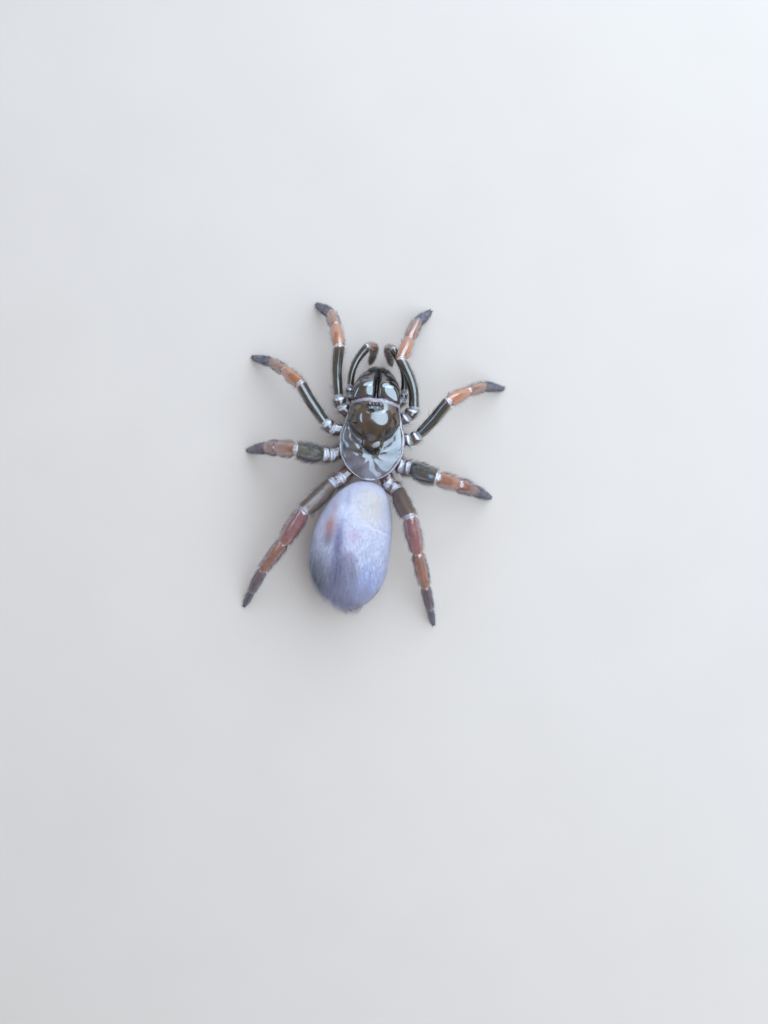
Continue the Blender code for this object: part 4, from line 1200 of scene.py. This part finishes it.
claws = mottled_finish("claws", 3.0, (0.008, 0.005, 0.005), (0.03, 0.015, 0.012), **horny)
piece("foot_claws", bm_claws, claws, "foot")

# Feelers
# The palps flank the jaws. Each bows outwards, bends down at its knee and ends in a short hairy
# foot held off the ground. Its hip is a chewing lobe fringed with brown hair.
PALP_LENGTHS = (0.9, 5.1, 1.8, 1.9, 1.4)
PALP_POSES = {
    1: ((4, -19, -60, 175, 160), (10, 14, -60, -74, -45)),
    -1: ((6, -21, -50, 170, 155), (10, 14, -64, -74, -45)),
}
PALP_ROOT = (1.35, -8.05, 3.95)
PALP_HIP_END = (3.15, -9.95, 3.75)
PALP_BOW = 0.55
PALP_TIP = ((0.08, 0.19), (0.14, 0.12))
PALP_WIDTHS = (
    (0.9, 1.2, 1.0, 0.95), (0.9, 1.0, 0.85, 1.0), (0.8, 0.85, 0.95, 1.2),
    (0.9, 1.0, 0.9, 1.0), (0.85, 0.9, 0.8, 1.0), (0.75, 0.75, 0.45, 1.0),
)
PALP_COLOURS = (
    UMBER, UMBER, (0.04, 0.028, 0.018), (0.24, 0.075, 0.03), (0.17, 0.055, 0.03), (0.11, 0.045, 0.035),
)
palp_finish = limb_finish("palp shell", PALP_COLOURS, 0.14)
palp_hair = mottled_finish("feeler hair", 1.0, (0.05, 0.028, 0.025), (0.17, 0.11, 0.10), Roughness=0.4)


def palp_hair_length(along, top, spot):
    k = joint_of(along, 6)
    share = np.array((0.4, 0.15, 0.1, 0.3, 0.8, 1.0))[k]
    return np.where(thinned(spot, share), np.array((0.5, 0.4, 0.4, 0.4, 0.45, 0.38))[k], 0)


for side, word in SIDES.items():
    name = f"palp_{word}"
    mirrored = Vector((side, 1, 1))
    ends = Vector(PALP_ROOT) * mirrored, Vector(PALP_HIP_END) * mirrored
    form = *PALP_POSES[side], PALP_LENGTHS, PALP_WIDTHS, PALP_BOW
    stations, joints, axes = limb_stations(side, *ends, *form)
    axis = axes[-1]
    across = axis.cross(UP).normalized()
    for reach, half in PALP_TIP:
        stations.append((1, 0, axis, oval(joints[-1] + axis * reach, across, across.cross(axis), half)))
    bm = drawn(bmesh.new(), stations, 26)
    nodes = [f"{name}_{joint}" for joint in ("coxa", "femur", "tibia", "tarsus")]
    palp = piece(name, bm, palp_finish, "femur", *nodes)
    setae(f"{name}_hair", palp, palp_hair, "foot", 90 + side, 5000, palp_hair_length, 0.018, 34)

# Floor, light and camera
# A plain pale floor, a broad, cool window high on the picture's right, a small one ahead and one
# on the left, and a camera looking straight down from where the photograph was taken.
FLOOR_HALF = 0.4
BODY_HEIGHT = 0.005
PICTURE_UP = Vector((0.0929, -0.9957, 0))
PICTURE_RIGHT = Vector((-0.9957, -0.0929, 0))
CAMERA_HEIGHT = 0.098
CAMERA_PLACE = Vector((-2.15, 3.46, 0)) * MM
bm = bmesh.new()
bmesh.ops.create_grid(bm, x_segments=2, y_segments=2, size=FLOOR_HALF)
floor_mesh = bpy.data.meshes.new("floor")
bm.to_mesh(floor_mesh)
bm.free()
floor = placed("floor", floor_mesh)
paper = Finish("floor", Roughness=0.7)
paper_shade = paper.mix(paper.mottle(0.08), (0.60, 0.475, 0.40), (0.64, 0.51, 0.43))
paper.paint(paper_shade, bump=paper.mottle(1.5), bump_depth=0.01)
floor_mesh.materials.append(paper.material)


def window(name, width, length, brightness, colour, right, upward, height):
    """An oval window aimed at the body, placed by the picture's own directions, in metres. Its
    length runs up the picture."""
    data = bpy.data.lights.new(name, "AREA")
    data.shape = "ELLIPSE"
    data.size, data.size_y = width, length
    data.energy = brightness * math.pi * math.pi * width * length / 4
    data.color = colour
    away = PICTURE_RIGHT * right + PICTURE_UP * upward + UP * height
    outward = away.normalized()
    upright = (PICTURE_UP - outward * outward.dot(PICTURE_UP)).normalized()
    turned = Matrix((upright.cross(outward), upright, outward)).transposed().to_4x4()
    made = placed(name, data)
    made.matrix_world = Matrix.Translation(waist + UP * BODY_HEIGHT + away) @ turned
    made.visible_camera = False


window("window_main", 0.38, 0.76, 3.45, (0.56, 0.78, 1.0), 0.145, 0.035, 0.235)
window("window_ahead", 0.36, 0.18, 3.5, (0.56, 0.78, 1.0), 0.06, 0.255, 0.105)
window("window_left", 0.06, 0.36, 3.6, (0.32, 0.60, 1.0), -0.237, 0.03, 0.148)

world = bpy.data.worlds.new("studio")
world.use_nodes = True
sky = world.node_tree
walls = sky.nodes["Background"]
walls.inputs["Color"].default_value = (1.0, 0.86, 0.72, 1)
walls.inputs["Strength"].default_value = 0.3
backdrop = sky.nodes.new("ShaderNodeBackground")
backdrop.inputs["Color"].default_value = (0.70, 0.72, 0.74, 1)
seen = sky.nodes.new("ShaderNodeMixShader")
sky.links.new(sky.nodes.new("ShaderNodeLightPath").outputs["Is Camera Ray"], seen.inputs[0])
sky.links.new(walls.outputs[0], seen.inputs[1])
sky.links.new(backdrop.outputs[0], seen.inputs[2])
sky.links.new(seen.outputs[0], sky.nodes["World Output"].inputs["Surface"])
bpy.context.scene.world = world
bpy.context.scene.view_settings.view_transform = "Standard"

camera_data = bpy.data.cameras.new("camera")
camera_data.lens = 28
camera_data.sensor_width = 36
camera_data.clip_start = 0.001
camera = placed("camera", camera_data)
camera.rotation_euler = (0, 0, math.atan2(PICTURE_RIGHT.y, PICTURE_RIGHT.x))
camera.location = waist + CAMERA_PLACE + UP * CAMERA_HEIGHT
bpy.context.scene.camera = camera
